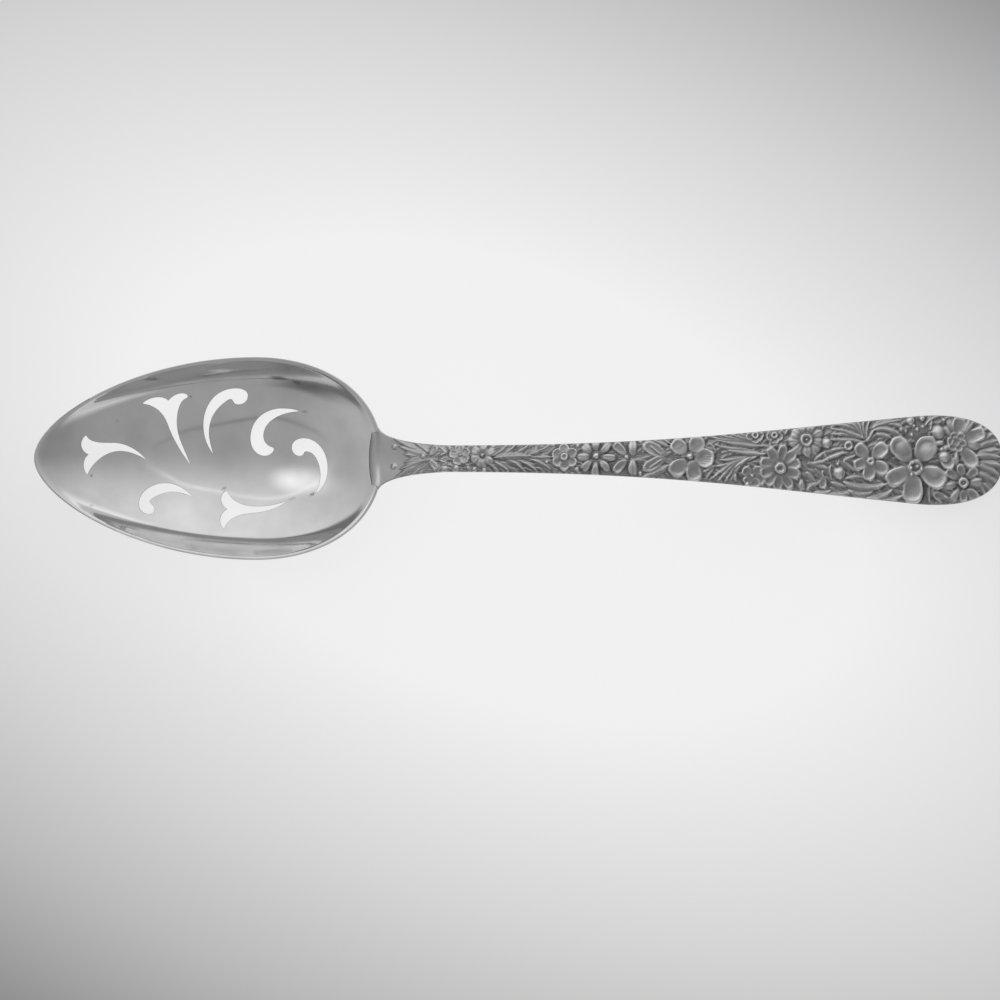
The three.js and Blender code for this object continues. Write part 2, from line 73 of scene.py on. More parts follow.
def newPiece(name, points, faces, material, values=None, sharp=math.pi):
    # points in mm, faces as index arrays of one size each, values as named numbers per point;
    # edges that turn by more than the sharp angle aren't shaded smooth
    mesh = bpy.data.meshes.new(name)
    mesh.vertices.add(len(points))
    placed = points * mm + np.array([tipX, 0, 0])
    mesh.vertices.foreach_set("co", placed.astype(np.float32).ravel())
    corners = np.concatenate([f.ravel() for f in faces]).astype(np.int32)
    sizes = np.concatenate([np.full(len(f), f.shape[1]) for f in faces])
    starts = np.concatenate([[0], np.cumsum(sizes)[:-1]]).astype(np.int32)
    mesh.loops.add(len(corners))
    mesh.loops.foreach_set("vertex_index", corners)
    mesh.polygons.add(len(sizes))
    mesh.polygons.foreach_set("loop_start", starts)
    mesh.update(calc_edges=True)
    mesh.validate()
    for key, numbers in (values or {}).items():
        layer = mesh.attributes.new(key, "FLOAT", "POINT")
        layer.data.foreach_set("value", numbers.astype(np.float32))
    mesh.shade_smooth()
    mesh.set_sharp_from_angle(angle=sharp)
    mesh.materials.append(material)
    piece = bpy.data.objects.new(name, mesh)
    bpy.context.scene.collection.objects.link(piece)
    return piece


def linear(hexColour):
    # an sRGB hex value as the linear colour that shaders take
    parts = [int(hexColour[k:k + 2], 16) / 255 for k in (0, 2, 4)]
    return [c / 12.92 if c <= 0.04045 else ((c + 0.055) / 1.055) ** 2.4 for c in parts] + [1]


def newMaterial(name):
    # a node material with no nodes in it yet
    material = bpy.data.materials.new(name)
    material.use_nodes = True
    material.node_tree.nodes.clear()
    return material


def node(tree, kind, inputs=None, **settings):
    # adds a node with its settings; an input is a value, or a (node, output) pair to link from
    made = tree.nodes.new("ShaderNode" + kind)
    for key, value in settings.items():
        setattr(made, key, value)
    for key, value in (inputs or {}).items():
        if isinstance(value, tuple) and isinstance(value[0], bpy.types.Node):
            tree.links.new(value[0].outputs[value[1]], made.inputs[key])
        else:
            made.inputs[key].default_value = value
    return made


smooth = {"interpolation_type": "SMOOTHSTEP"}  # a Map Range node's soft start and end


def rampOf(tree, source, stops):
    # a colour ramp through (position, grey) stops
    made = node(tree, "ValToRGB", {"Fac": source})
    points = made.color_ramp.elements
    while len(points) < len(stops):
        points.new(0.5)
    for point, (position, grey) in zip(points, stops):
        point.position = position
        point.color = (grey, grey, grey, 1)
    return made


# Sterling silver, stamped and buffed: a bright neutral mirror, softened by hairlines from
# years of wiping and by a breath of tarnish that greys it in patches
polished = {
    # the stain colour darkens the smudges: tarnish, painted shade at the scrolls' thin ends and a painted
    # dark reflection along the wall
    "silver": "e2e2e2", "tarnished": "d2d2d2", "stain": "3c3c3c",
    "roughness": 0.055, "wornRoughness": 0.12,
    "patchSize": 14, "patchFrom": 0.42, "wornFrom": 0.35, "patchFull": 0.7,
    "hairlinePitch": 0.35,  # real ones lie closer; these are as coarse as they need to be to show
    "hairlineStretch": 0.035, "hairlineTurns": (0.35, -0.6), "hairlineDepth": 0.02,
    "hairlineStrength": 0.06,
}


def metal(tree, colour, roughness, relief):
    # bare metal: these three vary over the surface, and the rest is the shader's own
    shader = node(tree, "BsdfPrincipled", {
        "Base Color": colour, "Metallic": 1, "Roughness": roughness, "Normal": relief})
    node(tree, "OutputMaterial", {"Surface": (shader, "BSDF")})


def polishedSilver():
    material = newMaterial("sterling silver, buffed")
    tree = material.node_tree
    place = node(tree, "TexCoord")
    patches = node(tree, "TexNoise", {
        "Vector": (place, "Object"), "Scale": 1 / (polished["patchSize"] * mm),
        "Detail": 3, "Roughness": 0.55})
    dull = rampOf(tree, (patches, "Fac"), [(polished["patchFrom"], 0), (polished["patchFull"], 1)])
    clean = node(tree, "Mix", {
        "Factor": (dull, "Color"), 6: linear(polished["silver"]),
        7: linear(polished["tarnished"])}, data_type="RGBA")
    # the smudges' darkness: tarnish, with painted shade at the scrolls' thin ends and a painted dark
    # reflection along the wall
    stain = node(tree, "Attribute", attribute_name="stain")
    colour = node(tree, "Mix", {
        "Factor": (stain, "Fac"), 6: (clean, 2), 7: linear(polished["stain"])}, data_type="RGBA")
    worn = node(tree, "MapRange", {
        "Value": (patches, "Fac"), "From Min": polished["wornFrom"], "From Max": polished["patchFull"],
        "To Min": polished["roughness"], "To Max": polished["wornRoughness"]})
    hairs = []
    for turn in polished["hairlineTurns"]:
        along = node(tree, "Mapping", {
            "Vector": (place, "Object"), "Rotation": (0, 0, turn),
            "Scale": (polished["hairlineStretch"], 1, 1)})
        hairs.append(node(tree, "TexNoise", {
            "Vector": (along, "Vector"), "Scale": 1 / (polished["hairlinePitch"] * mm), "Detail": 2}))
    both = node(tree, "Math", {0: (hairs[0], "Fac"), 1: (hairs[1], "Fac")}, operation="ADD")
    bump = node(tree, "Bump", {
        "Height": (both, "Value"), "Strength": polished["hairlineStrength"],
        "Distance": polished["hairlineDepth"] * mm})
    metal(tree, (colour, 2), (worn, "Result"), (bump, "Normal"))
    return material


# Bowl: an egg-shaped hollow under a narrow rim, deepest between its middle and the heel
bowl = {
    "length": 77.5, "width": 45.1, "widest": 49.3, "deepest": 46.0,
    "depth": 9.2, "wall": 1.1, "bellyFlat": 0.1,
    "rimWidth": 0.7, "rimFall": 0.4, "rimTilt": 0.1,
    "rimTurn": 16, "rimEdge": 0.2,  # how late the rim turns down, and how it rounds to the wall
    "tipRise": 1.6, "heelRise": 2.0,
    "tipFullness": 0.38, "frontEase": 0.445, "backEase": 0.51, "heelFullness": 0.68,
    "dishToTip": 10.4, "dishToHeel": 10.45, "dishToSide": 5.7, "dishBlend": 16.0, "tipCurl": 0.95,
    "wallReach": 5.8, "wallSteepness": 1.6,  # the wall stands on the dish's outermost run
    "pattern": (45.7, -0.2),  # the piercings are set out from here, a little off the deepest point
    "burr": 0.06, "sharp": 0.3,  # the round on each sawn edge, and from which angle an edge is one
    # the rest is the mesh: the steps and gaps of its points, the height of a row of triangles
    # as a share of their side, and the rings at shares of the rim's width
    "edgeStep": 0.17, "net": 0.42, "netRow": 0.866, "netHalf": 24, "netMargin": 1.1,
    "cutGap": 0.26, "seamGap": 0.12, "pastHeel": 5, "burrStop": 1,
    "ringPoints": 620, "rings": (1, 0.985, 0.95, 0.87, 0.7, 0.45, 0.18, -0.08, -0.3, -0.6),
}


def bowlOutline(inset):
    # half the outline: a cubic from the tip to the widest place and another on to the heel
    half = bowl["width"] / 2 - inset
    widest = bowl["widest"]
    heel = bowl["length"] - inset
    back = bowl["backEase"] * (heel - widest)
    front = cubic((inset, 0), (inset, bowl["tipFullness"] * half),
                  (bowl["frontEase"] * widest, half), (widest, half), 900)
    rear = cubic((widest, half), (widest + back, half),
                 (heel, bowl["heelFullness"] * half), (heel, 0), 900)
    return np.vstack([front, rear[1:]])


def outlineRay(inset):
    # for a compass angle from the deepest point: how far the outline is, and its station
    side = bowlOutline(inset)[::-1]
    angle = np.arctan2(side[:, 1], side[:, 0] - bowl["deepest"])
    reach = np.hypot(side[:, 0] - bowl["deepest"], side[:, 1])
    return lambda a: (np.interp(a, angle, reach), np.interp(a, angle, side[:, 0]))


innerRay = outlineRay(bowl["rimWidth"])
outerRay = outlineRay(0)


def rimHeight(station):
    # the rim sags between tip and heel: a parabola on either side of the deepest station
    ahead = np.clip((bowl["deepest"] - station) / bowl["deepest"], 0, None)
    behind = np.clip((station - bowl["deepest"]) / (bowl["length"] - bowl["deepest"]), 0, None)
    base = bowl["wall"] - bowl["bellyFlat"] + bowl["depth"]
    return base + bowl["tipRise"] * ahead ** 2 + bowl["heelRise"] * behind ** 2


def polar(x, y):
    # compass angle, the same on both sides, and distance from the deepest point
    dx = x - bowl["deepest"]
    return np.arctan2(np.abs(y), dx), np.hypot(dx, y)


def dish(dx, y):
    # the shallow floor: parabolas along and across, the one along flatter ahead than behind and
    # the one across steeper towards the tip, by the square of the way there
    deepest, rim = bowl["deepest"], bowl["rimWidth"]
    ahead = bowl["dishToTip"] / (deepest - rim) ** 2
    behind = bowl["dishToHeel"] / (bowl["length"] - rim - deepest) ** 2
    across = bowl["dishToSide"] / (bowl["width"] / 2 - rim) ** 2
    along = ahead + (behind - ahead) * ease(-bowl["dishBlend"], bowl["dishBlend"], dx)
    across = across * (1 + bowl["tipCurl"] * np.clip(-dx / deepest, 0, 1) ** 2)
    return along * dx ** 2 + across * y ** 2


def hollow(x, y, ray, bottom, rimLoss):
    # the dish, and over the last run up to the edge a wall that climbs what is left to the rim
    # with a power of the share of that run
    angle, reach = polar(x, y)
    edge, station = ray(angle)
    rim = rimHeight(station) - rimLoss
    left = rim - bottom - dish(edge * np.cos(angle), edge * np.sin(angle))
    climbed = np.clip(1 - (edge - reach) / bowl["wallReach"], 0, None)
    return bottom + dish(x - bowl["deepest"], y) + left * climbed ** bowl["wallSteepness"]


def bowlTop(x, y, fall=1):
    # inner face: the hollow out to the inner outline, then a rim that tilts inwards by a little
    # and turns down only at its very edge, with a high power of the way across
    angle, reach = polar(x, y)
    inner, station = innerRay(angle)
    outer, _ = outerRay(angle)
    wall = hollow(x, y, innerRay, bowl["wall"] - bowl["bellyFlat"], 0)
    across = np.clip((reach - inner) / (outer - inner), 0, 1)
    edge = rimHeight(station) - bowl["rimTilt"] * (1 - across)
    edge -= fall * bowl["rimFall"] * (1 - np.sqrt(1 - across ** bowl["rimTurn"]))
    return softMin(wall, edge, bowl["rimEdge"])


def bowlUnder(x, y):
    # outer face: the same hollow out to the full outline, flat where it is rubbed off below
    face = hollow(x, y, outerRay, -bowl["bellyFlat"], bowl["rimFall"])
    return np.maximum(face, 0) - heelDrop(x, y)


# Piercings: each is a closed run of cubics, as its thin end and then, for each curve, two
# handles and an end. Stations are from the bowl's deepest point.
piercings = {
    "tallFleur": [
        (-11.5, -1.2),
        (-13.4, 1.4), (-15.3, 4.4), (-16.4, 7.6),
        (-17.2, 9.9), (-18.7, 12.1), (-22, 12.4),
        (-21, 13.6), (-17.8, 14.6), (-16.3, 13.1),
        (-15.2, 14.4), (-14, 14.8), (-13, 14.75),
        (-11.8, 14.6), (-11.8, 13.9), (-12.4, 13.65),
        (-14, 12.9), (-14.5, 10.5), (-14.5, 8.3),
        (-14.5, 5), (-12.8, 2.4), (-11.5, -1.2),
    ],
    "tallComma": [
        (-6.5, 1.4),
        (-7.8, 3), (-8.6, 5.3), (-8.6, 7.6),
        (-8.6, 12.3), (-5.6, 15.9), (-1.2, 15.9),
        (0.3, 15.9), (1.4, 15.3), (1.4, 14.3),
        (1.3, 13.1), (0.4, 12.35), (-0.9, 12.35),
        (-1.6, 12.35), (-1.8, 12.9), (-2.05, 13.3),
        (-2.3, 13.7), (-2.8, 13.55), (-3.4, 13.1),
        (-6.1, 11.3), (-7.3, 8.9), (-7.35, 6.2),
        (-7.4, 4.4), (-6.8, 2.8), (-6.5, 1.4),
    ],
    "openScroll": [
        (12.9, 10.8),
        (11.6, 11.4), (10.2, 11.45), (8.6, 11.45),
        (4.6, 11.2), (1.9, 8.4), (1.9, 4.8),
        (1.9, 2.6), (3.2, 0.9), (5.1, 0.9),
        (6.2, 0.9), (7, 1.7), (7.15, 2.25),
        (7.2, 2.8), (6.6, 2.8), (6.2, 3),
        (5.2, 3.6), (4.8, 4.4), (4.8, 5.4),
        (4.9, 8.4), (8.2, 10.6), (12.9, 10.8),
    ],
    "heelHook": [
        (16.5, -7.6),
        (18.3, -6.4), (19.3, -4.4), (19.3, -2),
        (19.3, 1.9), (16.9, 4.8), (13.8, 4.8),
        (12.2, 4.8), (11.2, 3.9), (11.2, 2.7),
        (11.2, 1.7), (12.1, 0.8), (13.1, 0.85),
        (13.8, 0.9), (13.9, 1.6), (14.2, 1.85),
        (16.6, 2.1), (17.7, -1.2), (17.7, -3.6),
        (17.6, -5.4), (17.1, -6.6), (16.5, -7.6),
    ],
    "tipFleur": [
        (-21.2, -0.1),
        (-23.4, 2.4), (-26, 3.65), (-28.6, 3.65),
        (-30.6, 3.65), (-33.6, 3.4), (-34.4, 5.3),
        (-35.8, 4.4), (-36.1, 2), (-33.9, 1.05),
        (-35.4, -0.2), (-35.2, -2.6), (-34.1, -3.5),
        (-33.7, -1.8), (-31, 1.8), (-27, 1.85),
        (-24.6, 1.85), (-22.8, 0.8), (-21.2, -0.1),
    ],
    "lowComma": [
        (-10.7, -8.6),
        (-12.2, -6.9), (-14.4, -5.3), (-16.8, -5.3),
        (-20.2, -5.3), (-22.8, -7.3), (-22.8, -9.9),
        (-22.8, -11.3), (-21.7, -12.2), (-20.5, -12.2),
        (-19.4, -12.2), (-19, -11.2), (-19.7, -10.3),
        (-20.1, -9.9), (-20.5, -9.7), (-20.4, -9.2),
        (-19.2, -8), (-17.2, -7.2), (-15.2, -7.2),
        (-13.6, -7.2), (-12, -7.9), (-10.7, -8.6),
    ],
    "lowFleur": [
        (10.2, -9.2),
        (7.6, -10.2), (5, -10.5), (2.8, -10.45),
        (-0.6, -10.3), (-2.4, -8.9), (-3.4, -6.9),
        (-5.1, -7.8), (-5, -9.8), (-3.2, -11.1),
        (-5.1, -12.1), (-5.2, -14.5), (-3.8, -15.5),
        (-3.1, -13.2), (-1, -12.2), (2.4, -11.95),
        (5.2, -11.7), (8, -11), (10.2, -9.2),
    ],
}


def evenly(line, step):
    # points at even steps along a line, by its running length; a closed line's end is left out
    run = np.concatenate([[0], np.cumsum(np.hypot(*np.diff(line, axis=0).T))])
    count = max(8, int(run[-1] / step))
    at = np.linspace(0, run[-1], count, endpoint=False)
    return np.column_stack([np.interp(at, run, line[:, k]) for k in (0, 1)])


def sideways(loop):
    # unit vectors square to a closed loop, to the right of its direction
    ahead = np.roll(loop, -1, axis=0) - np.roll(loop, 1, axis=0)
    return np.column_stack([ahead[:, 1], -ahead[:, 0]]) / np.hypot(*ahead.T)[:, None]


def inside(points, loop):
    # a point is inside if a ray from it crosses the loop an odd number of times
    x, y = points[:, :1], points[:, 1:]
    a, b = loop.T, np.roll(loop, -1, axis=0).T
    spans = (a[1] > y) != (b[1] > y)
    rise = np.where(b[1] == a[1], 1, b[1] - a[1])
    meets = a[0] + (y - a[1]) * (b[0] - a[0]) / rise
    return (spans & (x < meets)).sum(axis=1) % 2 == 1


def piercingLoops():
    # each run of cubics as an evenly spaced loop, turned anticlockwise and widened by the burr
    loops = []
    for points in piercings.values():
        ends = np.array(points) + bowl["pattern"]
        runs = [cubic(*ends[k:k + 4], 60)[:-1] for k in range(0, len(ends) - 1, 3)]
        loop = evenly(np.vstack(runs + [ends[:1]]), bowl["edgeStep"])
        area = np.sum(loop[:, 0] * np.roll(loop[:, 1], -1) - loop[:, 1] * np.roll(loop[:, 0], -1))
        loop = loop if area > 0 else loop[::-1]
        loops.append(loop + bowl["burr"] * sideways(loop))
    return loops


# Handle: tongue, neck, arched stem and flat rounded end
handle = {
    "tongueFront": 74.35, "tongueBulge": 0.65, "tongueWidth": 11.6,
    "corner": 76.45, "cornerWidth": 13.8, "cornerReach": 1.0, "cornerBend": 0.3,
    "neck": 92, "neckWidth": 5.9, "flareReach": 5.4, "flareFullness": 1.14,
    "widenEase": 0.46, "widenStation": 159, "widenWidth": 12.4,
    "shoulder": 196, "shoulderWidth": 19.5, "endFullness": 1.07,
    "neckThickness": 3.1, "endThickness": 1.9, "crown": 0.45, "backCrown": 0.3,
    "tongueDish": 0.8, "tongueEdge": 1.7, "flareBlend": 4, "mostShare": 1.1,
    "seamBlend": 2.6, "seamGroove": 0.02, "seamGrooveWidth": 0.5, "backBlend": 7,
    "startSlope": 0.56, "startEase": 16, "arch": 122, "archHeight": 23,
    "archEaseBefore": 19, "archEaseAfter": 30,
    "endHeight": 1.78, "endSlope": 0.212, "endEase": 33,
    "edgeRound": 0.32,
    "dropStation": 78.5, "dropLength": 10, "dropWidth": 7, "dropHeight": 1.5,
    "rows": 750, "tongueRows": 12, "endRows": 40, "endRun": 5, "tongueDepth": 0.3,
    "columns": 96, "crowding": 1.25, "outerColumns": 4, "innerColumns": 9,
    "closeColumns": (0.045, 0.024, 0.012, 0.004, -0.003, -0.03),
}


def tongueEdge():
    # the seam with the bowl, from its middle outwards: a parabola, then a short curve to the corner
    front, half = handle["tongueFront"], handle["tongueWidth"] / 2
    t = np.linspace(0, 1, 60)
    bow = np.column_stack([front + handle["tongueBulge"] * t ** 2, half * t])
    ends = front + handle["tongueBulge"], half
    turn = handle["corner"] - handle["cornerBend"], half
    last = handle["corner"], handle["cornerWidth"] / 2
    u = np.linspace(0, 1, 20)[1:, None]
    curl = (1 - u) ** 2 * ends + 2 * (1 - u) * u * np.array(turn) + u * u * np.array(last)
    return np.vstack([bow, curl])


def handleOutline():
    # half the outline beyond the tongue's corner: flare, long widening, round end
    tongue, neck, shoulder = (handle[k] / 2 for k in ("cornerWidth", "neckWidth", "shoulderWidth"))
    start, waist, turn = handle["corner"], handle["neck"], handle["shoulder"]
    end = spoonLength
    flare = cubic((start, tongue), (start + handle["cornerReach"], (tongue + neck) / 2),
                  (start + handle["flareReach"], neck * handle["flareFullness"]), (waist, neck), 300)
    widen = cubic((waist, neck), (waist + handle["widenEase"] * (turn - waist), neck),
                  (handle["widenStation"], handle["widenWidth"] / 2), (turn, shoulder), 600)
    full = handle["endFullness"] * shoulder
    close = cubic((turn, shoulder), (turn + (end - turn) / 3, full), (end, full), (end, 0), 900)
    return np.vstack([flare, widen[1:], close[1:]])


seam = tongueEdge()
outline = handleOutline()


def halfWidth(station):
    # read off the outline
    return np.interp(station, outline[:, 0], outline[:, 1])


def sideView():
    # the ground of the relief seen from the side: one cubic up to the arch and one down
    top = handle["arch"], handle["archHeight"]
    low = handle["tongueFront"], float(bowlTop(np.array(handle["tongueFront"]), np.array(0.0)))
    rise = low[0] + handle["startEase"], low[1] + handle["startSlope"] * handle["startEase"]
    end = spoonLength, handle["endHeight"]
    fall = end[0] - handle["endEase"], end[1] + handle["endSlope"] * handle["endEase"]
    climb = cubic(low, rise, (top[0] - handle["archEaseBefore"], top[1]), top, 400)
    descent = cubic(top, (top[0] + handle["archEaseAfter"], top[1]), fall, end, 600)
    return np.vstack([climb, descent[1:]])


def ground(station):
    # the height of the front's middle, read off the side view
    return np.interp(station, sideLine[:, 0], sideLine[:, 1])


def pastTongue(station):
    # 0 at the seam, 1 from the neck on
    return ease(handle["tongueFront"], handle["neck"], station)


def plateThickness(station):
    # thinner from the neck to the end, by a smooth S
    past = ease(handle["neck"], spoonLength, station)
    return handle["neckThickness"] + past * (handle["endThickness"] - handle["neckThickness"])


def plateShare(station, offset):
    # share of the way out to the edge, and never much over 1; the flare counts in by and by, and
    # the round end is taken as wide as the shoulder
    beyond = station - handle["corner"]
    late = handle["corner"] + beyond * ease(0, handle["flareBlend"], beyond)
    share = np.abs(offset) / halfWidth(np.minimum(late, handle["shoulder"]))
    return np.minimum(handle["mostShare"], share)


def plateFront(station, offset):
    # the bowl's own face at the seam, with a groove along it, then dished and soon crowned
    past = pastTongue(station)
    rise = handle["tongueDish"] * (1 - past) - handle["crown"] * past
    face = ground(station) + rise * plateShare(station, offset) ** 2
    out = np.minimum(np.abs(offset), seam[-1, 1])
    beyond = station - np.interp(out, seam[:, 1], seam[:, 0])
    near = 1 - ease(0, handle["seamBlend"], beyond)
    groove = handle["seamGroove"] * (1 - ease(0, handle["seamGrooveWidth"], beyond))
    return face + near * (bowlTop(station, offset, 0) - face) - groove


def plateBack(station, offset):
    # the back's edges rise above its middle, most under the tongue; near the seam it bends to
    # meet the bowl's outer face
    past = pastTongue(station)
    thin = handle["neckThickness"] + handle["tongueDish"] - handle["tongueEdge"]
    rise = thin * (1 - past) + handle["backCrown"] * past
    face = ground(station) - plateThickness(station) + rise * plateShare(station, offset) ** 2
    out = np.minimum(np.abs(offset), seam[-1, 1])
    meet = np.interp(out, seam[:, 1], seam[:, 0])
    start = ground(meet) - plateThickness(meet) + thin * plateShare(meet, out) ** 2
    mend = hollow(meet, out, outerRay, -bowl["bellyFlat"], bowl["rimFall"]) - start
    near = 1 - ease(0, handle["backBlend"], station - meet)
    return face + near * mend - heelDrop(station, offset)


def heelDrop(station, offset):
    # how far the drop swells below bowl and tongue: one minus the square of the way out of a
    # long egg, to the power of 1.5
    along = (station - handle["dropStation"]) / handle["dropLength"]
    across = offset / (handle["dropWidth"] / 2)
    return handle["dropHeight"] * np.clip(1 - along ** 2 - across ** 2, 0, 1) ** 1.5


sideLine = sideView()


def tongueOutline():
    # the tongue's plan as a closed loop, carried well past the heel
    far = bowl["length"] + bowl["pastHeel"]
    side = seam[-1, 1]
    return np.vstack([seam[::-1] * [1, -1], seam[1:], [(far, side), (far, -side)]])


def nearest(points, line):
    # each point's distance to the nearest point of a line
    return np.sqrt(((points[:, None] - line[None]) ** 2).sum(axis=2)).min(axis=1)


def floorNet(loops):
    # a triangular net over the floor, without what lies in a piercing or close to its edge
    pitch, half = bowl["net"], bowl["netHalf"]
    row = pitch * bowl["netRow"]
    across, up = np.meshgrid(np.arange(0, bowl["length"], pitch), np.arange(-half, half, row))
    across = across + pitch / 2 * (np.arange(len(up)) % 2)[:, None]
    net = np.column_stack([across.ravel(), up.ravel()])
    bearing, reach = polar(net[:, 0], net[:, 1])
    net = net[reach < innerRay(bearing)[0] - bowl["netMargin"]]
    for loop in loops:
        net = net[(nearest(net, loop[::2]) >= bowl["cutGap"]) & ~inside(net, loop)]
    return net


def bowlPlan():
    # plan points: rings at set shares of the rim, the net over the floor, the loops that are
    # cut out of it and the seam, all joined into triangles that keep every cut edge
    angle = np.linspace(-math.pi, math.pi, bowl["ringPoints"], endpoint=False)
    inner, _ = innerRay(np.abs(angle))
    outer, _ = outerRay(np.abs(angle))
    rings = []
    for share in bowl["rings"]:
        reach = inner + share * (outer - inner)
        rings.append(np.column_stack([bowl["deepest"] + reach * np.cos(angle), reach * np.sin(angle)]))
    edge = rings[0]
    loops = piercingLoops()
    tongue = tongueOutline()
    seamLine = evenly(np.vstack([seam[::-1] * [1, -1], seam[1:]]), bowl["edgeStep"])
    seamLine = np.vstack([seamLine, seam[-1:]])
    free = np.vstack(rings[1:] + [floorNet(loops)])
    free = free[(nearest(free, seamLine) >= bowl["seamGap"]) & ~inside(free, tongue)]
    # every loop is linked into a closed run, and the seam into an open one
    points = [edge, free]
    links = [np.column_stack([np.arange(len(edge)), np.roll(np.arange(len(edge)), -1)])]
    count = len(edge) + len(free)
    for line in (*loops, seamLine):
        index = count + np.arange(len(line))
        pairs = np.column_stack([index, np.roll(index, -1)])
        links.append(pairs[:-1] if line is seamLine else pairs)
        points.append(line)
        count += len(line)
    # triangles over the whole hull, with points closer than the last number taken as one
    made = delaunay_2d_cdt(np.vstack(points).tolist(), np.vstack(links).tolist(), [], 0, 1e-5)
    plan = np.array([tuple(v) for v in made[0]])
    faces = np.array(made[2])
    middles = plan[faces].mean(axis=1)
    bearing, reach = polar(middles[:, 0], middles[:, 1])
    keep = (reach < outerRay(bearing)[0]) & ~inside(middles, tongue)
    for loop in loops:
        keep &= ~inside(middles, loop)
    faces = faces[keep]
    turn = np.cross(plan[faces[:, 1]] - plan[faces[:, 0]], plan[faces[:, 2]] - plan[faces[:, 0]])
    faces[turn < 0] = faces[turn < 0][:, ::-1]
    used, faces = np.unique(faces, return_inverse=True)
    return plan[used], faces.reshape(-1, 3)


# Dark smudges: at the scrolls' thin ends they are tarnish in the saw's run-out with painted shade in the
# narrow cut, and the ones along the wall are a painted dark reflection. Each is a place from the bowl's
# deepest point, half length, half width, turn and darkness
smudgesAndPaintedShade = [
    (15.6, -7.9, 0.75, 0.28, 0.75, 1.0), (-4.2, -6.6, 0.7, 0.35, 0.6, 0.55),
    (13.8, 10.5, 0.9, 0.3, -0.3, 0.45), (-11.6, 13.8, 0.4, 0.35, 0, 0.5),
    (11.0, -8.9, 0.8, 0.2, 0.3, 0.5), (-33.6, -3.9, 0.5, 0.35, 1.2, 0.6),
    (-20.2, -10.9, 0.6, 0.3, 1.1, 0.3), (8.0, 18.0, 2.5, 0.5, -0.12, 0.75),
    (12.1, 17.0, 1.3, 0.4, -0.3, 0.5), (-27.8, 8.4, 0.5, 0.4, 0.5, 0.2),
    (-33.4, -10.6, 0.45, 0.35, 0.2, 0.3),
]


def tarnishAndPaintedShade(x, y):
    # each smudge, tarnish with painted shade, darkens with one minus the square of the way out of its
    # ellipse
    total = np.zeros_like(x)
    for ahead, offset, length, width, turn, dark in smudgesAndPaintedShade:
        dx, dy = x - bowl["deepest"] - ahead, y - offset
        along = dx * math.cos(turn) + dy * math.sin(turn)
        across = dy * math.cos(turn) - dx * math.sin(turn)
        total += dark * np.clip(1 - (along / length) ** 2 - (across / width) ** 2, 0, 1)
    return np.clip(total, 0, 1)


def bowlShell():
    # the plan lifted twice, onto the inner and the outer face; both share the rim's edge, and
    # every other free edge gets a wall with its two corners taken off
    plan, top = bowlPlan()
    x, y = plan.T
    count = len(plan)
    bearing, reach = polar(x, y)
    onEdge = reach > outerRay(bearing)[0] - 0.004  # mm, less than the next ring's distance
    upper = np.column_stack([x, y, bowlTop(x, y)])
    lower = np.column_stack([x, y, bowlUnder(x, y)])
    lowerIndex = np.where(onEdge, np.arange(count), np.arange(count) + count)
    under = lowerIndex[top][:, ::-1]
    sides = np.vstack([top[:, [0, 1]], top[:, [1, 2]], top[:, [2, 0]]])
    keys = sides[:, 0] * count + sides[:, 1]
    free = sides[~np.isin(sides[:, 1] * count + sides[:, 0], keys)]
    free = free[~(onEdge[free[:, 0]] & onEdge[free[:, 1]])]
    ahead = plan[free[:, 1]] - plan[free[:, 0]]
    square = np.column_stack([ahead[:, 1], -ahead[:, 0]])
    outward = np.zeros((count, 2))
    np.add.at(outward, free[:, 0], square)
    np.add.at(outward, free[:, 1], square)
    outward /= np.maximum(np.hypot(*outward.T), 1e-9)[:, None]
    burr = bowl["burr"] * (x < handle["tongueFront"] - bowl["burrStop"])
    step = np.column_stack([burr[:, None] * outward, -burr])
    wallTop = upper + step
    wallLow = lower + step * [1, 1, -1]
    a, b = free.T
    bands = [
        np.column_stack([b, a, a + 2 * count, b + 2 * count]),
        np.column_stack([b + 2 * count, a + 2 * count, a + 3 * count, b + 3 * count]),
        np.column_stack([b + 3 * count, a + 3 * count, lowerIndex[a], lowerIndex[b]]),
    ]
    points = np.vstack([upper, lower, wallTop, wallLow])
    quads = np.vstack(bands)
    used = np.unique(np.concatenate([top.ravel(), under.ravel(), quads.ravel()]))
    shift = np.zeros(len(points), int)
    shift[used] = np.arange(len(used))
    triangles = np.vstack([top, under])
    print("bowl:", len(triangles) + 2 * len(quads), "triangles")
    # the smudges' tarnish, painted shade and painted dark reflection, per point
    stain = tarnishAndPaintedShade(*points[used, :2].T)
    faces = [shift[triangles], shift[quads]]
    return newPiece("piercedBowl", points[used], faces, polishedSilver(), {"stain": stain}, bowl["sharp"])


bowlPiece = bowlShell()
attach(bowlPiece, "root")
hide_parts("bowl")


# Relief: blossoms, leaves and buds as heights in mm over the handle's ground. What is laid
# later lies on top, and is lifted a little by what it covers. The pattern's own axis leans
# against the handle's by its lean.
relief = {
    "lean": 0.0023, "start": (78.8, 79.6), "edgeFade": 0.14, "wobble": 0.04,
    "top": 0.84, "topRise": 0.4, "topRound": 0.3, "topReach": (8, 24), "foot": 0.19,
    "petal": 0.36, "egg": 0.35, "cup": 0.085, "rim": 0.15, "rimPlace": 0.82, "rimWidth": 0.16,
    "tipShape": 0.2, "tilt": 0.05, "dome": 0.32, "groove": 0.09, "grooveWidth": 0.22,
    "vein": 0.014, "veinPitch": 0.52, "veined": 1.4,  # the last is the width from which petals have any
    "blade": 0.34, "rib": 0.08, "ribWidth": 0.18, "bead": 0.84, "eye": 0.34, "uneven": 0.06,
    "stipple": 0.07, "stipplePitch": 0.62, "stippleRow": 0.8, "stippleSwing": 0.4,
    "dimple": (0.15, 0.5), "matted": (82, 85),
    "leafLane": 0.74, "leafRun": 2.1, "leafWidth": 0.78, "leafHeight": 0.5, "leafSwing": 0.4,
}


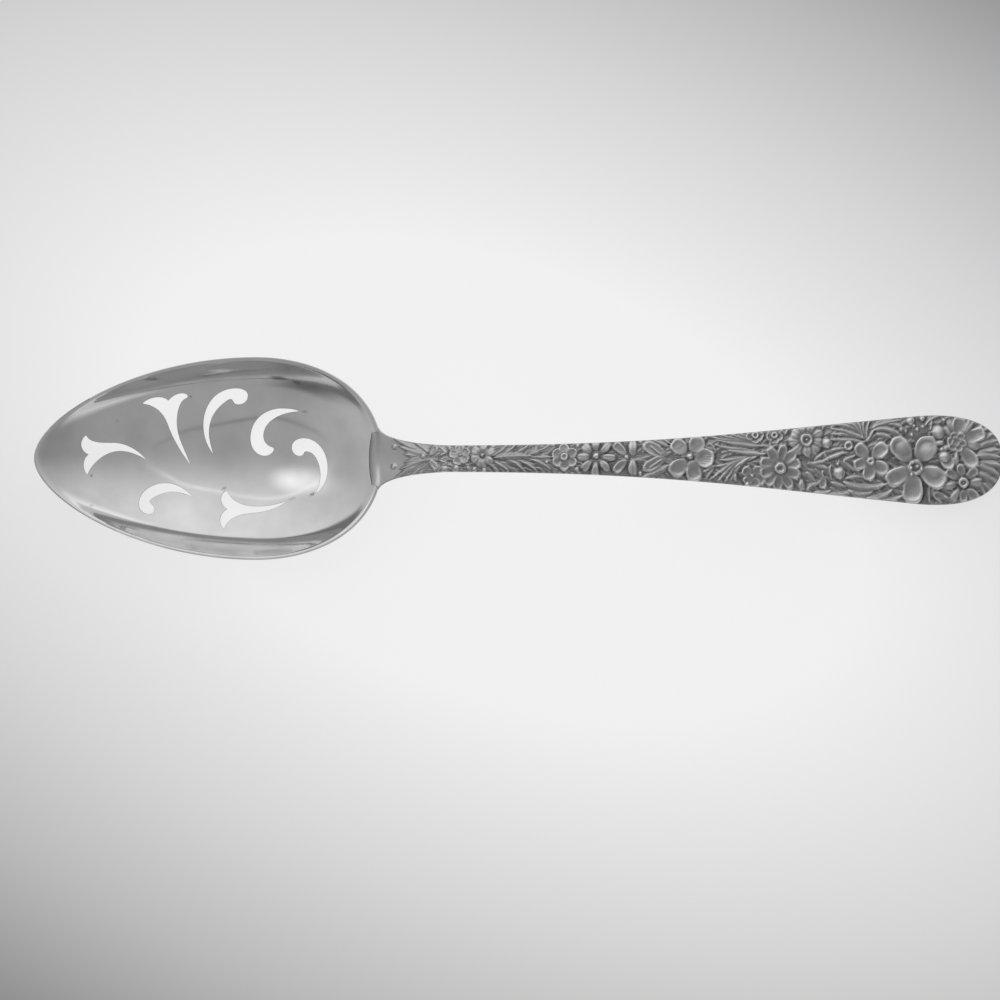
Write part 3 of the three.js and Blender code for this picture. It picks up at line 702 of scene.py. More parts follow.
class Relief:
    def __init__(self, station, offset):
        # two sines bend every outline a little, as the chaser's hand does
        wave = relief["wobble"] * np.sin(1.9 * station + 2.6 * offset)
        self.s = station + relief["wobble"] * np.sin(2.3 * offset - 1.1 * station)
        self.y = offset + wave - relief["lean"] * station
        self.middle = station[:, station.shape[1] // 2]
        # the ground is matted with a round punch: rows of dimples, each row shifted by a half and
        # swung by a sine
        pitch = relief["stipplePitch"]
        row = self.y / (pitch * relief["stippleRow"])
        swing = relief["stippleSwing"] * np.sin(2.3 * np.round(row))
        column = self.s / pitch + 0.5 * (np.round(row) % 2) + swing
        dimple = np.hypot(column - np.round(column), row - np.round(row))
        self.height = relief["stipple"] * ease(*relief["dimple"], dimple) * ease(*relief["matted"], station)
        # rubbed wear, and painted light on the petals that grows towards their tips
        self.rubbedAndPaintedLight = np.zeros_like(station)

    def near(self, root, tip, reach, bow=0):
        # the rows near a shape, and there the share of the way from root to tip and the
        # distance to the left of that line, which bows out sideways as a parabola
        ends = min(root[0], tip[0]) - reach, max(root[0], tip[0]) + reach
        rows = slice(*np.searchsorted(self.middle, ends))
        s, y = self.s[rows] - root[0], self.y[rows] - root[1]
        length = math.dist(root, tip)
        c, d = (tip[0] - root[0]) / length, (tip[1] - root[1]) / length
        t = (s * c + y * d) / length
        beside = y * c - s * d - bow * 4 * t * (1 - t)
        return rows, t, beside, length

    def around(self, at, reach):
        # the rows near a round shape, and there the distance from its middle
        rows = slice(*np.searchsorted(self.middle, (at[0] - reach - 1, at[0] + reach + 1)))
        return rows, np.hypot(self.s[rows] - at[0], self.y[rows] - at[1])

    def lay(self, rows, body, q, size, through=0.25, rubbedAndPaintedLight=0.0):
        # the new shape replaces what it covers, and lets a share of that through
        foot = relief["foot"] / size
        cover = 1 - ease(1 - foot, 1 + foot, q)
        under = self.height[rows]
        self.height[rows] = under * (1 - cover) + (body + through * under) * cover
        self.rubbedAndPaintedLight[rows] += (rubbedAndPaintedLight - self.rubbedAndPaintedLight[rows]) * cover

    def blade(self, root, tip, width, bow=0, height=1.0):
        # a slender leaf: its width follows a sine to two points and its section is a low roof
        # with a round rib along the ridge
        rows, t, beside, _ = self.near(root, tip, width, bow)
        inside = np.clip(t, 0, 1)
        half = width / 2 * np.sin(math.pi * inside ** 0.85) ** 0.7 + 1e-3
        q = np.abs(beside) / half + 9 * np.abs(t - inside)
        body = relief["blade"] * height * (1 - 0.6 * np.minimum(q, 1) ** 1.5)
        body += relief["rib"] * np.exp(-((beside / relief["ribWidth"]) ** 2))
        self.lay(rows, body, q, width / 2)

    def petal(self, root, tip, width, form="cup", bow=0, lift=1.0):
        # an egg with its narrow end at the root; q is 1 at its edge. A cupped petal is a dish as deep as a
        # share of its width, with a rolled rim at its tip; a domed one is highest inside. Both rise from
        # root to tip and are rubbed most there, and wide ones have veins. The rubbing is partly painted
        # light: wide petals are lighter towards the tip and darker at the root, as the petal's slope shades
        # it.
        # A sine of the petal's place points or notches its tip, and another tilts it
        rows, t, beside, length = self.near(root, tip, width / 2, bow)
        half = width / 2 * (1 + relief["egg"] * (t - 0.5))
        share = beside / half
        pointed = relief["tipShape"] * math.sin(3.7 * tip[0] + 2.1 * tip[1])
        tilt = relief["tilt"] * width * math.sin(2.9 * tip[0] - 1.3 * tip[1])
        q = np.hypot(2 * t - 1 + pointed * np.abs(share) * ease(0.5, 0.9, t), share)
        inside = np.minimum(q, 1)
        outer = ease(0, 0.45, t)
        body = relief["petal"] * lift * (0.8 + 0.35 * np.clip(t, 0, 1))
        if form == "cup":
            rim = np.exp(-(((q - relief["rimPlace"]) / relief["rimWidth"]) ** 2))
            body += relief["rim"] * ease(0.2, 0.85, t) * rim
            body += relief["cup"] * width * (inside ** 2 - 0.55) * outer
            body += tilt * np.clip(share, -1, 1) * outer
        else:
            body += relief["dome"] * (1 - inside ** 2)
        if width > relief["veined"]:
            veins = relief["vein"] * np.cos(math.pi * share * width / relief["veinPitch"])
            body += veins * outer * (1 - ease(0.55, 0.8, q))
        if width > relief["veined"] and form == "dome":
            body -= relief["groove"] * np.exp(-((beside / relief["grooveWidth"]) ** 2))
        # rubbed wear with painted light: lighter towards the tip and darker at the root
        rubbedAndPaintedLight = ease(1.2, 3.6, width) * ease(-0.2, 0.7, t)
        self.lay(rows, body, q, min(width, length) / 2, 0.1, rubbedAndPaintedLight)

    def bead(self, at, radius, height=1.0):
        # a round bud: a low dome, one minus the square of the way out
        rows, r = self.around(at, radius)
        body = relief["bead"] * height * (0.3 + 0.7 * np.clip(1 - (r / radius) ** 2, 0, 1))
        self.lay(rows, body, r / radius, radius, 0.1, 0.5)

    def swell(self, at, radius, rise):
        # a soft swelling of what is there: the square of one minus the square of the way out
        rows, r = self.around(at, radius)
        self.height[rows] += rise * np.clip(1 - (r / radius) ** 2, 0, 1) ** 2

    def ring(self, at, radius, wire, height=1.0):
        # a flat eye inside a raised ring of round wire
        size = radius + wire
        rows, r = self.around(at, size)
        over = np.sqrt(np.clip(1 - ((r - radius) / wire) ** 2, 0, 1))
        self.lay(rows, relief["bead"] * height - relief["eye"] * (1 - over), r / size, size)

    def foliage(self, low, high, pitch, aim):
        # an undergrowth of short blades in staggered rows, each leaning away from the middle
        # line and swung a little by a sine of its place
        run, width = relief["leafRun"] * pitch, relief["leafWidth"] * pitch
        for row, s in enumerate(np.arange(low, high, pitch)):
            half = float(halfWidth(s))
            for y in np.arange(-half + 0.3 * (row % 2), half, pitch * relief["leafLane"]):
                swing = aim * (0.5 + 0.5 * abs(y) / half) * (1 if y > 0 else -1)
                swing += relief["leafSwing"] * math.sin(2.7 * s + 1.9 * y)
                tip = s + run * math.cos(swing), y - 0.4 + run * math.sin(swing)
                self.blade((s, y - 0.4), tip, width, 0.12, relief["leafHeight"])

    def blossom(self, at, radius, count, width, turn=0.0, start=0.25, form="cup"):
        # petals at even angles, every second one over its neighbours, and no two of one size:
        # a sine of its number turns, lengthens and widens each
        for k in [*range(1, count, 2), *range(0, count, 2)]:
            vary = relief["uneven"] * math.sin(5.1 * k + at[0])
            aim = turn + 2 * math.pi * k / count + vary
            c, d = math.cos(aim), math.sin(aim)
            reach = radius * (1 - vary)
            root = at[0] + start * radius * c, at[1] + start * radius * d
            tip = at[0] + reach * c, at[1] + reach * d
            self.petal(root, tip, width * (1 + 4 / 3 * vary), form)

    def fan(self, root, tips, width, bow=0, height=1.0):
        # blades from one root
        for tip in tips:
            self.blade(root, tip, width, bow, height)

    def petals(self, root, heads, form="cup", lift=1.0, start=0.15):
        # petals with their own tips and widths, from a share of the way out from the eye
        for s, y, width in heads:
            foot = root[0] + start * (s - root[0]), root[1] + start * (y - root[1])
            self.petal(foot, (s, y), width, form, 0, lift)


def neckOrnament(art):
    # palmette fanned back to the tongue, with a knob off each lobe
    art.bead((80, 2.4), 0.6, 0.35)
    art.bead((79.8, -1.9), 0.65, 0.35)
    art.fan((87.6, 1.2), [(86, 3.5), (84.2, 3.9)], 1.2)
    art.fan((87.6, -1.2), [(85.6, -3.6), (83.6, -3.9)], 1.2)
    art.fan((87.6, 0.6), [(82.0, 0.9), (79.7, 4.6), (81.0, 2.6)], 1.5, 0.25)
    art.fan((87.6, -0.4), [(82.2, -1.1), (80.2, -4.5), (81.2, -2.6)], 1.5, -0.25)
    art.bead((86.4, 0.35), 0.7, 0.7)
    # small leaves on the neck
    for side in (-1, 1):
        art.petal((87.9, 0.4 * side), (89.6, 2.7 * side), 1.35)
        art.petal((89.8, 0.3 * side), (91.6, 1.2 * side), 0.8, "dome")
        art.blade((91.8, 1.0 * side), (89.6, 3.3 * side), 1.0, 0.15 * side)
    art.bead((92.3, 2.1), 0.6, 0.8)
    art.bead((91.2, -2.6), 0.85, 0.8)
    art.bead((93.7, -2.4), 0.85, 0.8)
    art.fan((96.2, 2.0), [(94.4, 3.3), (97.2, 3.3)], 0.9)
    art.blade((96.2, -1.9), (97.2, -3.3), 0.9)
    art.blossom((94.7, 0.55), 2.3, 5, 2.0, 0.5, 0.15)
    art.bead((94.6, 0.6), 0.45)
    for spot in ((97.8, -2.6), (99.9, -2.8), (102, 2.6), (97.0, 2.9)):
        art.bead(spot, 0.65, 0.7)
    art.blossom((99.5, 0.5), 2.85, 6, 2.1, 0.42, 0.18, "dome")
    art.bead((99.5, 0.6), 0.5, 0.9)
    # feathered leaf
    art.blade((101.8, 0.4), (105.3, 3.3), 1.25, -0.35)
    art.blade((103.9, 0.5), (107.2, 3.3), 1.25, -0.25)
    art.blade((106.3, 0.8), (110.1, 3.2), 1.25, -0.25)
    art.blade((109.3, 0.5), (113.3, 2.3), 1.2, -0.2)
    art.blade((111.8, 1.5), (115.2, 3.4), 1.1, -0.2)
    art.blade((100.9, -1.4), (103.2, -3.3), 1.1, 0.2)
    art.blade((102.2, -1.0), (105.6, -3.3), 1.2, 0.2)
    art.blade((104.3, 0.1), (109.2, -3.2), 1.4, 0.25)
    art.blade((108.2, -0.9), (111.8, -3.2), 1.2, 0.2)
    art.blade((110.2, -0.3), (114.8, -2.7), 1.2, 0.2)
    art.blade((102, 0), (110.6, 0.35), 1.9, 0.15, 1.35)
    art.blade((110.2, 0.1), (115.8, 0.1), 1.1, 0, 1.1)
    art.bead((113.7, -1.0), 0.45, 0.7)


def stemOrnament(art):
    # round flower, then the daisy on the arch
    art.blossom((117.6, 0.1), 3.0, 6, 2.4, 0.55, 0.2)
    art.ring((117.6, 0.2), 0.62, 0.32)
    for spot in ((120.6, 2.7), (120.4, -2.6), (115.1, 2.9)):
        art.bead(spot, 0.6, 0.6)
    art.blossom((124.6, 0.2), 4.25, 8, 1.95, 0, 0.3, "dome")
    art.bead((124.6, 0.4), 0.85, 0.8)
    # four leaves in a cross, the right pair upright and full
    for side in (-1, 1):
        art.petal((131.3, 0.5 * side), (128.5, 3.2 * side), 2.0)
        art.petal((132.7, 0.35 * side), (132.7, 3.9 * side), 2.1, "dome")
        art.bead((134.4, 3.5 * side), 0.5, 0.7)
    art.bead((131.4, 0.1), 0.55, 0.6)
    # heart-shaped leaves that point to the dogwood
    art.blade((140.8, 2.4), (137, 4.2), 1.1, 0.1)
    art.blade((141.2, 3.0), (139.2, 4.4), 0.8, 0.1)
    art.petal((140.0, 0.4), (134.9, 3.1), 2.9)
    art.blade((139.2, 0.6), (136.6, 2.6), 0.7, 0.1, 1.3)
    art.blade((140.9, -1.5), (134.8, -4.2), 1.6, 0.35, 1.2)
    art.petal((140.0, 0.0), (134.9, -2.7), 2.6)
    art.blade((139.3, -0.3), (136.2, -2.5), 0.7, -0.1, 1.3)
    # dogwood
    heads = [(141.5, 3.7, 3.4), (147.8, 4.5, 3.7), (146.7, -5.2, 3.4), (141.2, -3.7, 3.7),
             (150.7, -0.3, 4.2)]
    art.petals((145.3, 0.2), heads, "cup", 1.0, 0.2)
    art.bead((145.3, 0.3), 0.85)


def bladeOrnament(art):
    # fronds between the dogwood and the two daisies
    art.fan((151.2, 1.6), [(148.8, 2.4), (149.7, 3.2)], 0.8)
    art.fan((150.9, -1.7), [(148.9, -4.8), (148.2, -3.3)], 0.9)
    art.fan((160.6, 3.3), [(157.6, 6.1), (155.8, 5.9), (153.9, 5.6)], 1.1, 0.25)
    art.fan((161.6, 2.6), [(152, 5.2), (149, 4.9), (151, 3.9)], 1.3, 0.3)
    art.fan((162.4, 0.9), [(150.8, 2.9), (153.6, 1.7)], 1.35, 0.25, 1.25)
    art.fan((160.4, 0.3), [(152, -0.5), (150.9, -1.9)], 1.3, 0.25)
    art.fan((158.7, 0.2), [(149.8, -4.9), (151.4, -5.3), (153, -5.5), (154.4, -5.2)], 1.35, -0.5, 1.25)
    art.blade((158.9, 0.2), (155.2, -2.3), 1.0, -0.15, 1.5)
    art.petal((155.5, -3.3), (155.4, -5.2), 0.9, "dome")
    art.blade((158.4, -1.6), (156.6, -3.6), 0.8)
    # flowers and berries under the first daisy
    heads = [(157.3, -2.2), (161.4, -2.1), (162.1, -5.2), (160.3, -6.6), (157.6, -5.8)]
    art.petals((159.3, -4.1), [(*head, 2.3) for head in heads])
    art.bead((159.2, -4.0), 0.5)
    art.bead((158.2, -6.0), 0.7, 0.8)
    for at in ((159.9, 5.0), (164.2, 5.0)):
        art.blossom(at, 1.95, 5, 1.9, -1.57, 0.2)
        art.ring(at, 0.55, 0.3, 0.9)
    art.fan((166.6, 5.2), [(165.4, 6.8), (167.4, 6.9)], 0.9)
    art.fan((163.4, 2.3), [(161.2, 2.9), (163.1, 3.8), (165.2, 3.0)], 1.0)
    art.bead((163.4, 1.5), 0.6, 0.8)
    # daisies
    art.blossom((165.5, -2.3), 5.0, 10, 2.3, -0.4, 0.22)
    art.ring((165.5, -2.3), 0.95, 0.42)
    art.fan((175.2, 1.2), [(173.1, -0.6), (176.4, -0.6)], 1.1)
    art.fan((172.6, -1.2), [(176.5, -2.4), (175.9, -0.7)], 1.2)
    art.blossom((171.4, 4.0), 4.0, 9, 2.3, -1.57, 0.28, "dome")
    art.ring((171.4, 4.0), 1.1, 0.42)
    art.bead((171.4, 4.0), 0.4, 0.8)
    art.bead((176.0, 3.3), 1.25)
    # leaves along the lower edge
    art.blade((171.2, -3.2), (173.6, -5.4), 1.3, 0.2)
    art.petal((170.3, -4.7), (170.3, -7.2), 1.5, "dome")
    art.blade((171.4, -7.2), (174.4, -5.5), 1.5, 0.35)
    art.blade((172.8, -7.8), (177, -7.3), 1.3, -0.2, 1.2)
    art.petal((175.2, -4.0), (175.1, -6.9), 1.7)
    art.blade((175.0, -2.8), (175.2, -4.4), 0.6)


def budOrnament(art):
    # fronds that part over the small blossom
    art.blade((184.8, 3.5), (176.6, 4.1), 1.2, -0.2, 1.1)
    art.fan((184.6, 4.3), [(177, 5.3), (176.9, 6.5)], 1.25, -0.35, 1.1)
    art.fan((184.8, 5.0), [(176.4, 7.7), (179.6, 8.0)], 1.3, -0.7, 1.1)
    art.fan((184.0, 4.6), [(181.4, 7.9), (182.8, 8.3)], 1.0, -0.3)
    art.fan((185.0, 4.0), [(184.2, 8.6), (185.6, 8.6)], 1.1, 0.2)
    art.blade((184.9, 3.6), (186.7, 6.7), 1.0, -0.15, 1.2)
    art.fan((186.1, 6.7), [(191.2, 8.9), (193.2, 8.5)], 1.2, 0.3, 1.1)
    art.fan((186.3, 6.2), [(191.6, 5.0), (193.6, 4.3)], 1.4, 1.1, 1.15)
    art.blade((187.2, 5.3), (190.8, 4.3), 1.3, 0.3, 1.1)
    art.blade((189.8, 7.4), (193.9, 6.0), 1.2, 0.7, 1.1)
    # wavy stem and its two buds
    art.blade((174.6, -1.0), (181.2, 1.4), 1.0, 0.35, 1.2)
    art.blade((176.8, 1.7), (180.6, 2.2), 0.9, 0.1)
    art.ring((180.9, 2.7), 0.8, 0.3, 0.8)
    art.fan((179.6, -0.6), [(182.5, 0.6), (182.4, -2.9)], 1.1)
    art.blade((176.8, -1.6), (177.2, -5.0), 1.0, -0.3)
    art.bead((178.4, -1.3), 0.5, 0.9)
    art.bead((178.8, -3.4), 1.4, 1.05)
    art.blade((180.2, -4.6), (184.4, -4.4), 1.0, 0.3)
    # curled leaves along the lower edge
    art.blade((177.0, -5.4), (180.6, -6.3), 1.2, -0.15)
    art.blade((176.2, -8.0), (182.2, -7.2), 1.6, -0.5, 1.15)
    art.blade((180.8, -7.2), (186.6, -7.2), 2.0, -0.9, 1.3)
    art.blade((184.8, -8.9), (191, -6.9), 1.9, -0.9, 1.25)
    art.blade((188.2, -9.3), (193.2, -8.3), 1.6, -0.6, 1.1)
    art.blade((179.6, -5.3), (190.0, -5.5), 1.9, -1.25, 1.35)
    # five cupped petals
    heads = [(182.7, 3.0, 2.9), (182.1, -1.9, 2.6), (185.4, -5.1, 3.0), (189.5, 3.0, 3.2),
             (189.7, -3.2, 3.0)]
    art.petals((185.8, -0.6), heads)
    art.ring((185.9, -0.7), 0.6, 0.34, 0.9)


def endOrnament(art):
    # beads and a matted patch above the great blossom
    for s, y, radius in ((194.9, 8.3, 1.0), (197.5, 8.8, 0.7), (202.4, 8.5, 0.55), (192.7, 6.4, 0.5)):
        art.bead((s, y), radius)
    for spot in ((193.9, 6.1), (196.5, 6.4), (195.2, 5.2), (197.8, 7.0), (195.7, 7.2)):
        art.bead(spot, 0.38, 0.55)
    art.blade((198.2, 7.2), (202.4, 9.8), 1.0, 0.5)
    art.blade((199.4, 6.2), (199.9, 8.6), 0.9)
    # leaves at the lower edge, and fans round the end
    art.blade((199.0, -6.0), (199.2, -9.9), 1.1, 0.2)
    art.fan((199.8, -6.6), [(203.9, -8.9), (202.4, -9.9)], 1.5, -0.5, 1.2)
    art.blade((201.6, -6.4), (204.6, -7.0), 1.0)
    art.fan((210.6, 4.2), [(211.6, 8.3), (213.4, 7.6)], 1.6, 0.3)
    art.fan((210.4, 2.4), [(214.6, 6.0), (215.4, 4.0)], 1.8, 0.3)
    art.fan((209.6, 0.4), [(215.6, 2.0), (215.6, 0.2)], 1.8, 0.3, 1.1)
    art.fan((209.8, -1.4), [(215.6, -1.5), (215.2, -3.6)], 1.8, 0.25, 1.1)
    art.blade((209.9, -3.2), (214.6, -5.4), 1.7, 0.25)
    art.fan((210.6, -5.6), [(213.8, -7.4), (212.2, -8.8)], 1.4, 0.25)
    art.fan((208.2, 6.4), [(208.4, 9.3), (210.2, 8.9)], 1.2, 0.2)
    # oval-petalled daisy
    art.petal((202.7, -8.9), (200.1, -8.1), 1.6)
    heads = [(202.4, -6.5, 1.6), (211.4, -5.3, 1.9), (204.3, -9.7, 1.8)]
    art.petals((207.0, -5.6), heads, "dome", 0.9, 0.3)
    heads = [(203.2, -2.6, 2.0), (206.2, -1.3, 1.9), (210.1, -2.2, 2.1), (210.4, -9.6, 2.2),
             (207.1, -9.9, 1.8)]
    art.petals((207.0, -5.6), heads, "cup", 1.05, 0.33)
    art.ring((207.0, -5.5), 0.85, 0.4)
    art.bead((207.0, -5.5), 0.35, 0.7)
    # chrysanthemum: cupped petals, narrow ones between them and a ring of small ones
    heads = [(203.5, 8.6, 1.5), (208.8, 8.1, 1.9), (202.5, 7.0, 1.4), (201.6, 1.4, 1.4),
             (211.0, 2.6, 2.0)]
    art.petals((205.5, 3.6), heads, "dome", 0.8, 0.35)
    heads = [(206.2, 9.4, 3.0), (211.9, 5.9, 3.0), (210.0, -2.0, 3.3)]
    art.petals((205.5, 3.6), heads, "cup", 1.0, 0.25)
    art.petal((205.4, 1.7), (205.4, -1.7), 1.3, "dome")
    art.blossom((205.4, 3.6), 2.3, 6, 1.8, 0.9, 0.2)
    art.blossom((205.4, 3.7), 1.15, 4, 1.0, 0.3, 0.1)
    # buds, the lower one in its calyx
    art.bead((201.3, 5.8), 1.6, 1.05)
    art.petal((200.1, 3.3), (202.7, 3.4), 1.2, "dome")
    art.bead((202.0, 2.0), 0.6)
    art.petal((202.2, 1.6), (204.3, -2.6), 3.1)
    art.bead((202.7, 0.3), 1.35, 1.05)
    # great blossom: five deep cupped petals round a cluster of stamens
    heads = [(191.0, 4.4, 4.4), (200.0, 4.8, 5.1), (189.6, -5.4, 3.9), (202.9, -5.6, 4.7),
             (195.3, -10.0, 4.6)]
    art.petals((195.9, -1.9), heads, "cup", 1.05, 0.2)
    for s, y, radius, rise in ((193.4, 2.6, 2.3, 0.42), (198.9, 1.5, 2.7, 0.62), (200.4, -2.9, 2.0, 0.35)):
        art.swell((s, y), radius, rise)
    art.ring((196.1, -2.1), 1.35, 0.5, 0.6)
    for spot in ((195.1, -2.2), (195.5, -0.9), (196.5, -1.9), (196.3, -3.4), (197.4, -2.5), (195.1, -3.7)):
        art.bead(spot, 0.42, 1.0)


def ornament(station, offset):
    # undergrowth first, then everything else from the tongue to the end
    art = Relief(station, offset)
    art.foliage(89, 121, 1.3, 0.7)
    art.foliage(133, 193, 1.75, 0.8)
    art.foliage(199, 215, 1.6, 0.6)
    for chase in (neckOrnament, stemOrnament, bladeOrnament, budOrnament, endOrnament):
        chase(art)
    # tops are rounded off under a limit that is lowest on the arch
    fromArch = np.abs(station - handle["arch"])
    limit = relief["top"] + relief["topRise"] * ease(*relief["topReach"], fromArch)
    return softMin(art.height, limit, relief["topRound"]), art.rubbedAndPaintedLight


def blurred(grid, size):
    # a running mean over so many places to either side, along and across and twice over, which
    # is close to a Gaussian
    for axis in (0, 1, 0, 1):
        pad = [(0, 0), (0, 0)]
        pad[axis] = (size + 1, size)
        total = np.cumsum(np.pad(grid, pad, mode="edge"), axis=axis)
        ahead = np.take(total, np.arange(2 * size + 1, total.shape[axis]), axis=axis)
        behind = np.take(total, np.arange(total.shape[axis] - 2 * size - 1), axis=axis)
        grid = (ahead - behind) / (2 * size + 1)
    return grid


# Sterling silver, die-struck, chased and oxidised: the ground and the creases stay grey from
# the sulphide bath, and the crests are rubbed back to satin metal
oxidised = {
    "crest": "e8e8e8", "middle": "b4b4b4", "crease": "686868",
    "crestEnd": 0.14, "middlePlace": 0.44, "creaseStart": 0.92,  # how deep each tone reaches
    "roughness": 0.12, "creaseRoughness": 0.38, "roughStops": [(0.12, 0), (0.45, 0.5), (0.95, 1)],
    "grainStrength": 0.2, "grainDepth": 0.03,
    "grainSize": 0.22, "patchSize": 6, "speckle": 0.14,  # grain as coarse as it needs to be to show
    "level": 0.4, "depthGain": 1.9, "fineWindow": 2, "wideWindow": 8, "wideShare": 0.2,
    # the rubbed gain is partly painted light on the petals' tips
    "groundGain": 0.04, "groundFrom": 0.08, "groundTo": 0.3, "rubbedAndPaintedLightGain": 0.2,
    "back": 0.08, "tongue": 0.2, "evenFrom": 70, "evenTo": 112,
    # the seam's darkening is painted shade in the crease between bowl and handle
    "seamPaintedShade": 0.2, "seamFrom": 0.1, "seamTo": 1.2, "seamSideFrom": 3.5, "seamSideTo": 6,
}


def oxidisedSilver():
    material = newMaterial("sterling silver, oxidised and relieved")
    tree = material.node_tree
    place = node(tree, "TexCoord")
    grain = node(tree, "TexNoise", {
        "Vector": (place, "Object"), "Scale": 1 / (oxidised["grainSize"] * mm),
        "Detail": 3, "Roughness": 0.6})
    patches = node(tree, "TexNoise", {
        "Vector": (place, "Object"), "Scale": 1 / (oxidised["patchSize"] * mm), "Detail": 2})
    depth = node(tree, "Attribute", attribute_name="crease"), "Fac"
    for noise in (patches, grain):
        depth = node(tree, "Math", {0: (noise, "Fac"), 1: oxidised["speckle"], 2: depth},
                     operation="MULTIPLY_ADD"), "Value"
    tone = rampOf(tree, depth, oxidised["roughStops"])
    rough = node(tree, "MapRange", {
        "Value": (tone, "Color"), "To Min": oxidised["roughness"], "To Max": oxidised["creaseRoughness"]})
    steps = [oxidised[k] for k in ("crestEnd", "middlePlace", "creaseStart")]
    colour = linear(oxidised["crest"])
    for low, high, deeper in zip(steps, steps[1:], ("middle", "crease")):
        share = rampOf(tree, depth, [(low, 0), (high, 1)])
        colour = node(tree, "Mix", {"Factor": (share, "Color"), 6: colour, 7: linear(oxidised[deeper])},
                      data_type="RGBA"), 2
    bump = node(tree, "Bump", {
        "Height": (grain, "Fac"), "Strength": oxidised["grainStrength"],
        "Distance": oxidised["grainDepth"] * mm})
    metal(tree, colour, (rough, "Result"), (bump, "Normal"))
    return material


def creases(art, rubbedAndPaintedLight, station, offset, beyond):
    # how far a place lies below the mean height round it, from 0 on the crests to 1 in the deepest creases;
    # the matted ground counts as deeper, and rubbed petals as less deep, which is partly painted light that
    # grows towards their tips.
    # Towards the tongue it evens out, and painted shade lies along the middle of the seam, in the crease
    # between bowl and handle
    fine, wide = (blurred(art, oxidised[k]) - art for k in ("fineWindow", "wideWindow"))
    below = (1 - oxidised["wideShare"]) * fine + oxidised["wideShare"] * wide
    ground = 1 - ease(oxidised["groundFrom"], oxidised["groundTo"], art)
    depth = oxidised["level"] + oxidised["depthGain"] * below + oxidised["groundGain"] * ground
    depth = np.clip(depth - oxidised["rubbedAndPaintedLightGain"] * rubbedAndPaintedLight, 0, 1) - oxidised["tongue"]
    depth = oxidised["tongue"] + depth * ease(oxidised["evenFrom"], oxidised["evenTo"], station)
    # painted shade along the seam's crease
    besides = 1 - ease(oxidised["seamSideFrom"], oxidised["seamSideTo"], np.abs(offset))
    along = 1 - ease(oxidised["seamFrom"], oxidised["seamTo"], beyond)
    return depth + oxidised["seamPaintedShade"] * besides * along


def handleShell():
    # a closed section of front, side, back and side, carried from the seam to the round end
    rows, columns = handle["rows"], handle["columns"]
    tongueRows, endRows = handle["tongueRows"], handle["endRows"]
    corner = handle["corner"]
    bend = spoonLength - handle["endRun"]
    stations = np.concatenate([
        np.full(tongueRows, corner),
        np.linspace(corner, bend, rows - tongueRows - endRows, endpoint=False),
        bend + handle["endRun"] * np.sin(np.linspace(0, math.pi / 2, endRows)),
    ])
    w = np.linspace(-1, 1, columns + 1)
    across = np.sign(w) * (1 - (1 - np.abs(w)) ** handle["crowding"])
    # the back has fewer columns, which stand close together where the tongue's edge turns
    turn = handle["tongueWidth"] / handle["cornerWidth"]
    above, *closeBy, below = turn + np.array(handle["closeColumns"])
    side = np.concatenate([np.linspace(1, above, handle["outerColumns"]), closeBy,
                           np.linspace(below, 0, handle["innerColumns"])])
    section = np.concatenate([across, side, -side[-2::-1]])
    loop = len(section)
    half = halfWidth(stations)
    half[-1] = 1e-4  # a mere point would have no direction
    offset = half[:, None] * section
    # the tongue's rows run from the curved seam to the straight line between its corners
    station = np.repeat(stations[:, None], loop, axis=1)
    meet = np.interp(np.abs(offset[0]), seam[:, 1], seam[:, 0])
    share = (np.arange(tongueRows) / tongueRows)[:, None]
    station[:tongueRows] = meet + share * (corner - meet)
    # the edge is rounded by a quarter circle, square to the outline, whose slope needs rows that
    # don't all lie at one station
    slope = np.gradient(halfWidth(stations), stations + 1e-9 * np.arange(rows))
    slope[:tongueRows] = 0
    toEdge = (half[:, None] - np.abs(offset)) / np.sqrt(1 + slope[:, None] ** 2)
    q = np.clip(1 - toEdge / handle["edgeRound"], 0, 1)
    rounding = handle["edgeRound"] * (1 - np.sqrt(1 - q ** 2))
    front, back = np.s_[:, :columns + 1], np.s_[:, columns + 1:]
    art, rubbedAndPaintedLight = ornament(station[front], offset[front])
    art *= ease(*relief["start"], station[front]) * ease(0, relief["edgeFade"], toEdge[front])
    height = np.empty_like(station)
    height[front] = plateFront(station[front], offset[front]) + art - rounding[front]
    height[back] = np.maximum(plateBack(station[back], offset[back]) + rounding[back], 0)
    crease = np.full_like(station, oxidised["back"])
    beyond = station[front] - meet[:columns + 1]
    crease[front] = creases(art, rubbedAndPaintedLight, station[front], offset[front], beyond)
    # quads between the rows, and a fan of triangles round a middle point at either end
    index = np.arange(rows * loop).reshape(rows, loop)
    after = np.roll(index, -1, axis=1)
    quads = np.stack([index[:-1], index[1:], after[1:], after[:-1]], axis=2).reshape(-1, 4)
    fans = np.vstack([
        np.column_stack([index[0], after[0], np.full(loop, rows * loop)]),
        np.column_stack([after[-1], index[-1], np.full(loop, rows * loop + 1)]),
    ])
    points = np.column_stack([station.ravel(), offset.ravel(), height.ravel()])
    seamMiddle = height[0, [columns // 2, columns + len(side)]].mean()
    middles = [[station[0].min() + handle["tongueDepth"], 0, seamMiddle],
               [spoonLength, 0, height[-1].mean()]]
    values = {"crease": np.concatenate([crease.ravel(), [0, 0]])}
    print("handle:", 2 * len(quads) + len(fans), "triangles")
    return newPiece("handleRelief", np.vstack([points, middles]), [quads, fans], oxidisedSilver(), values)


handlePiece = handleShell()
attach(handlePiece, "root")
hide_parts("handle")


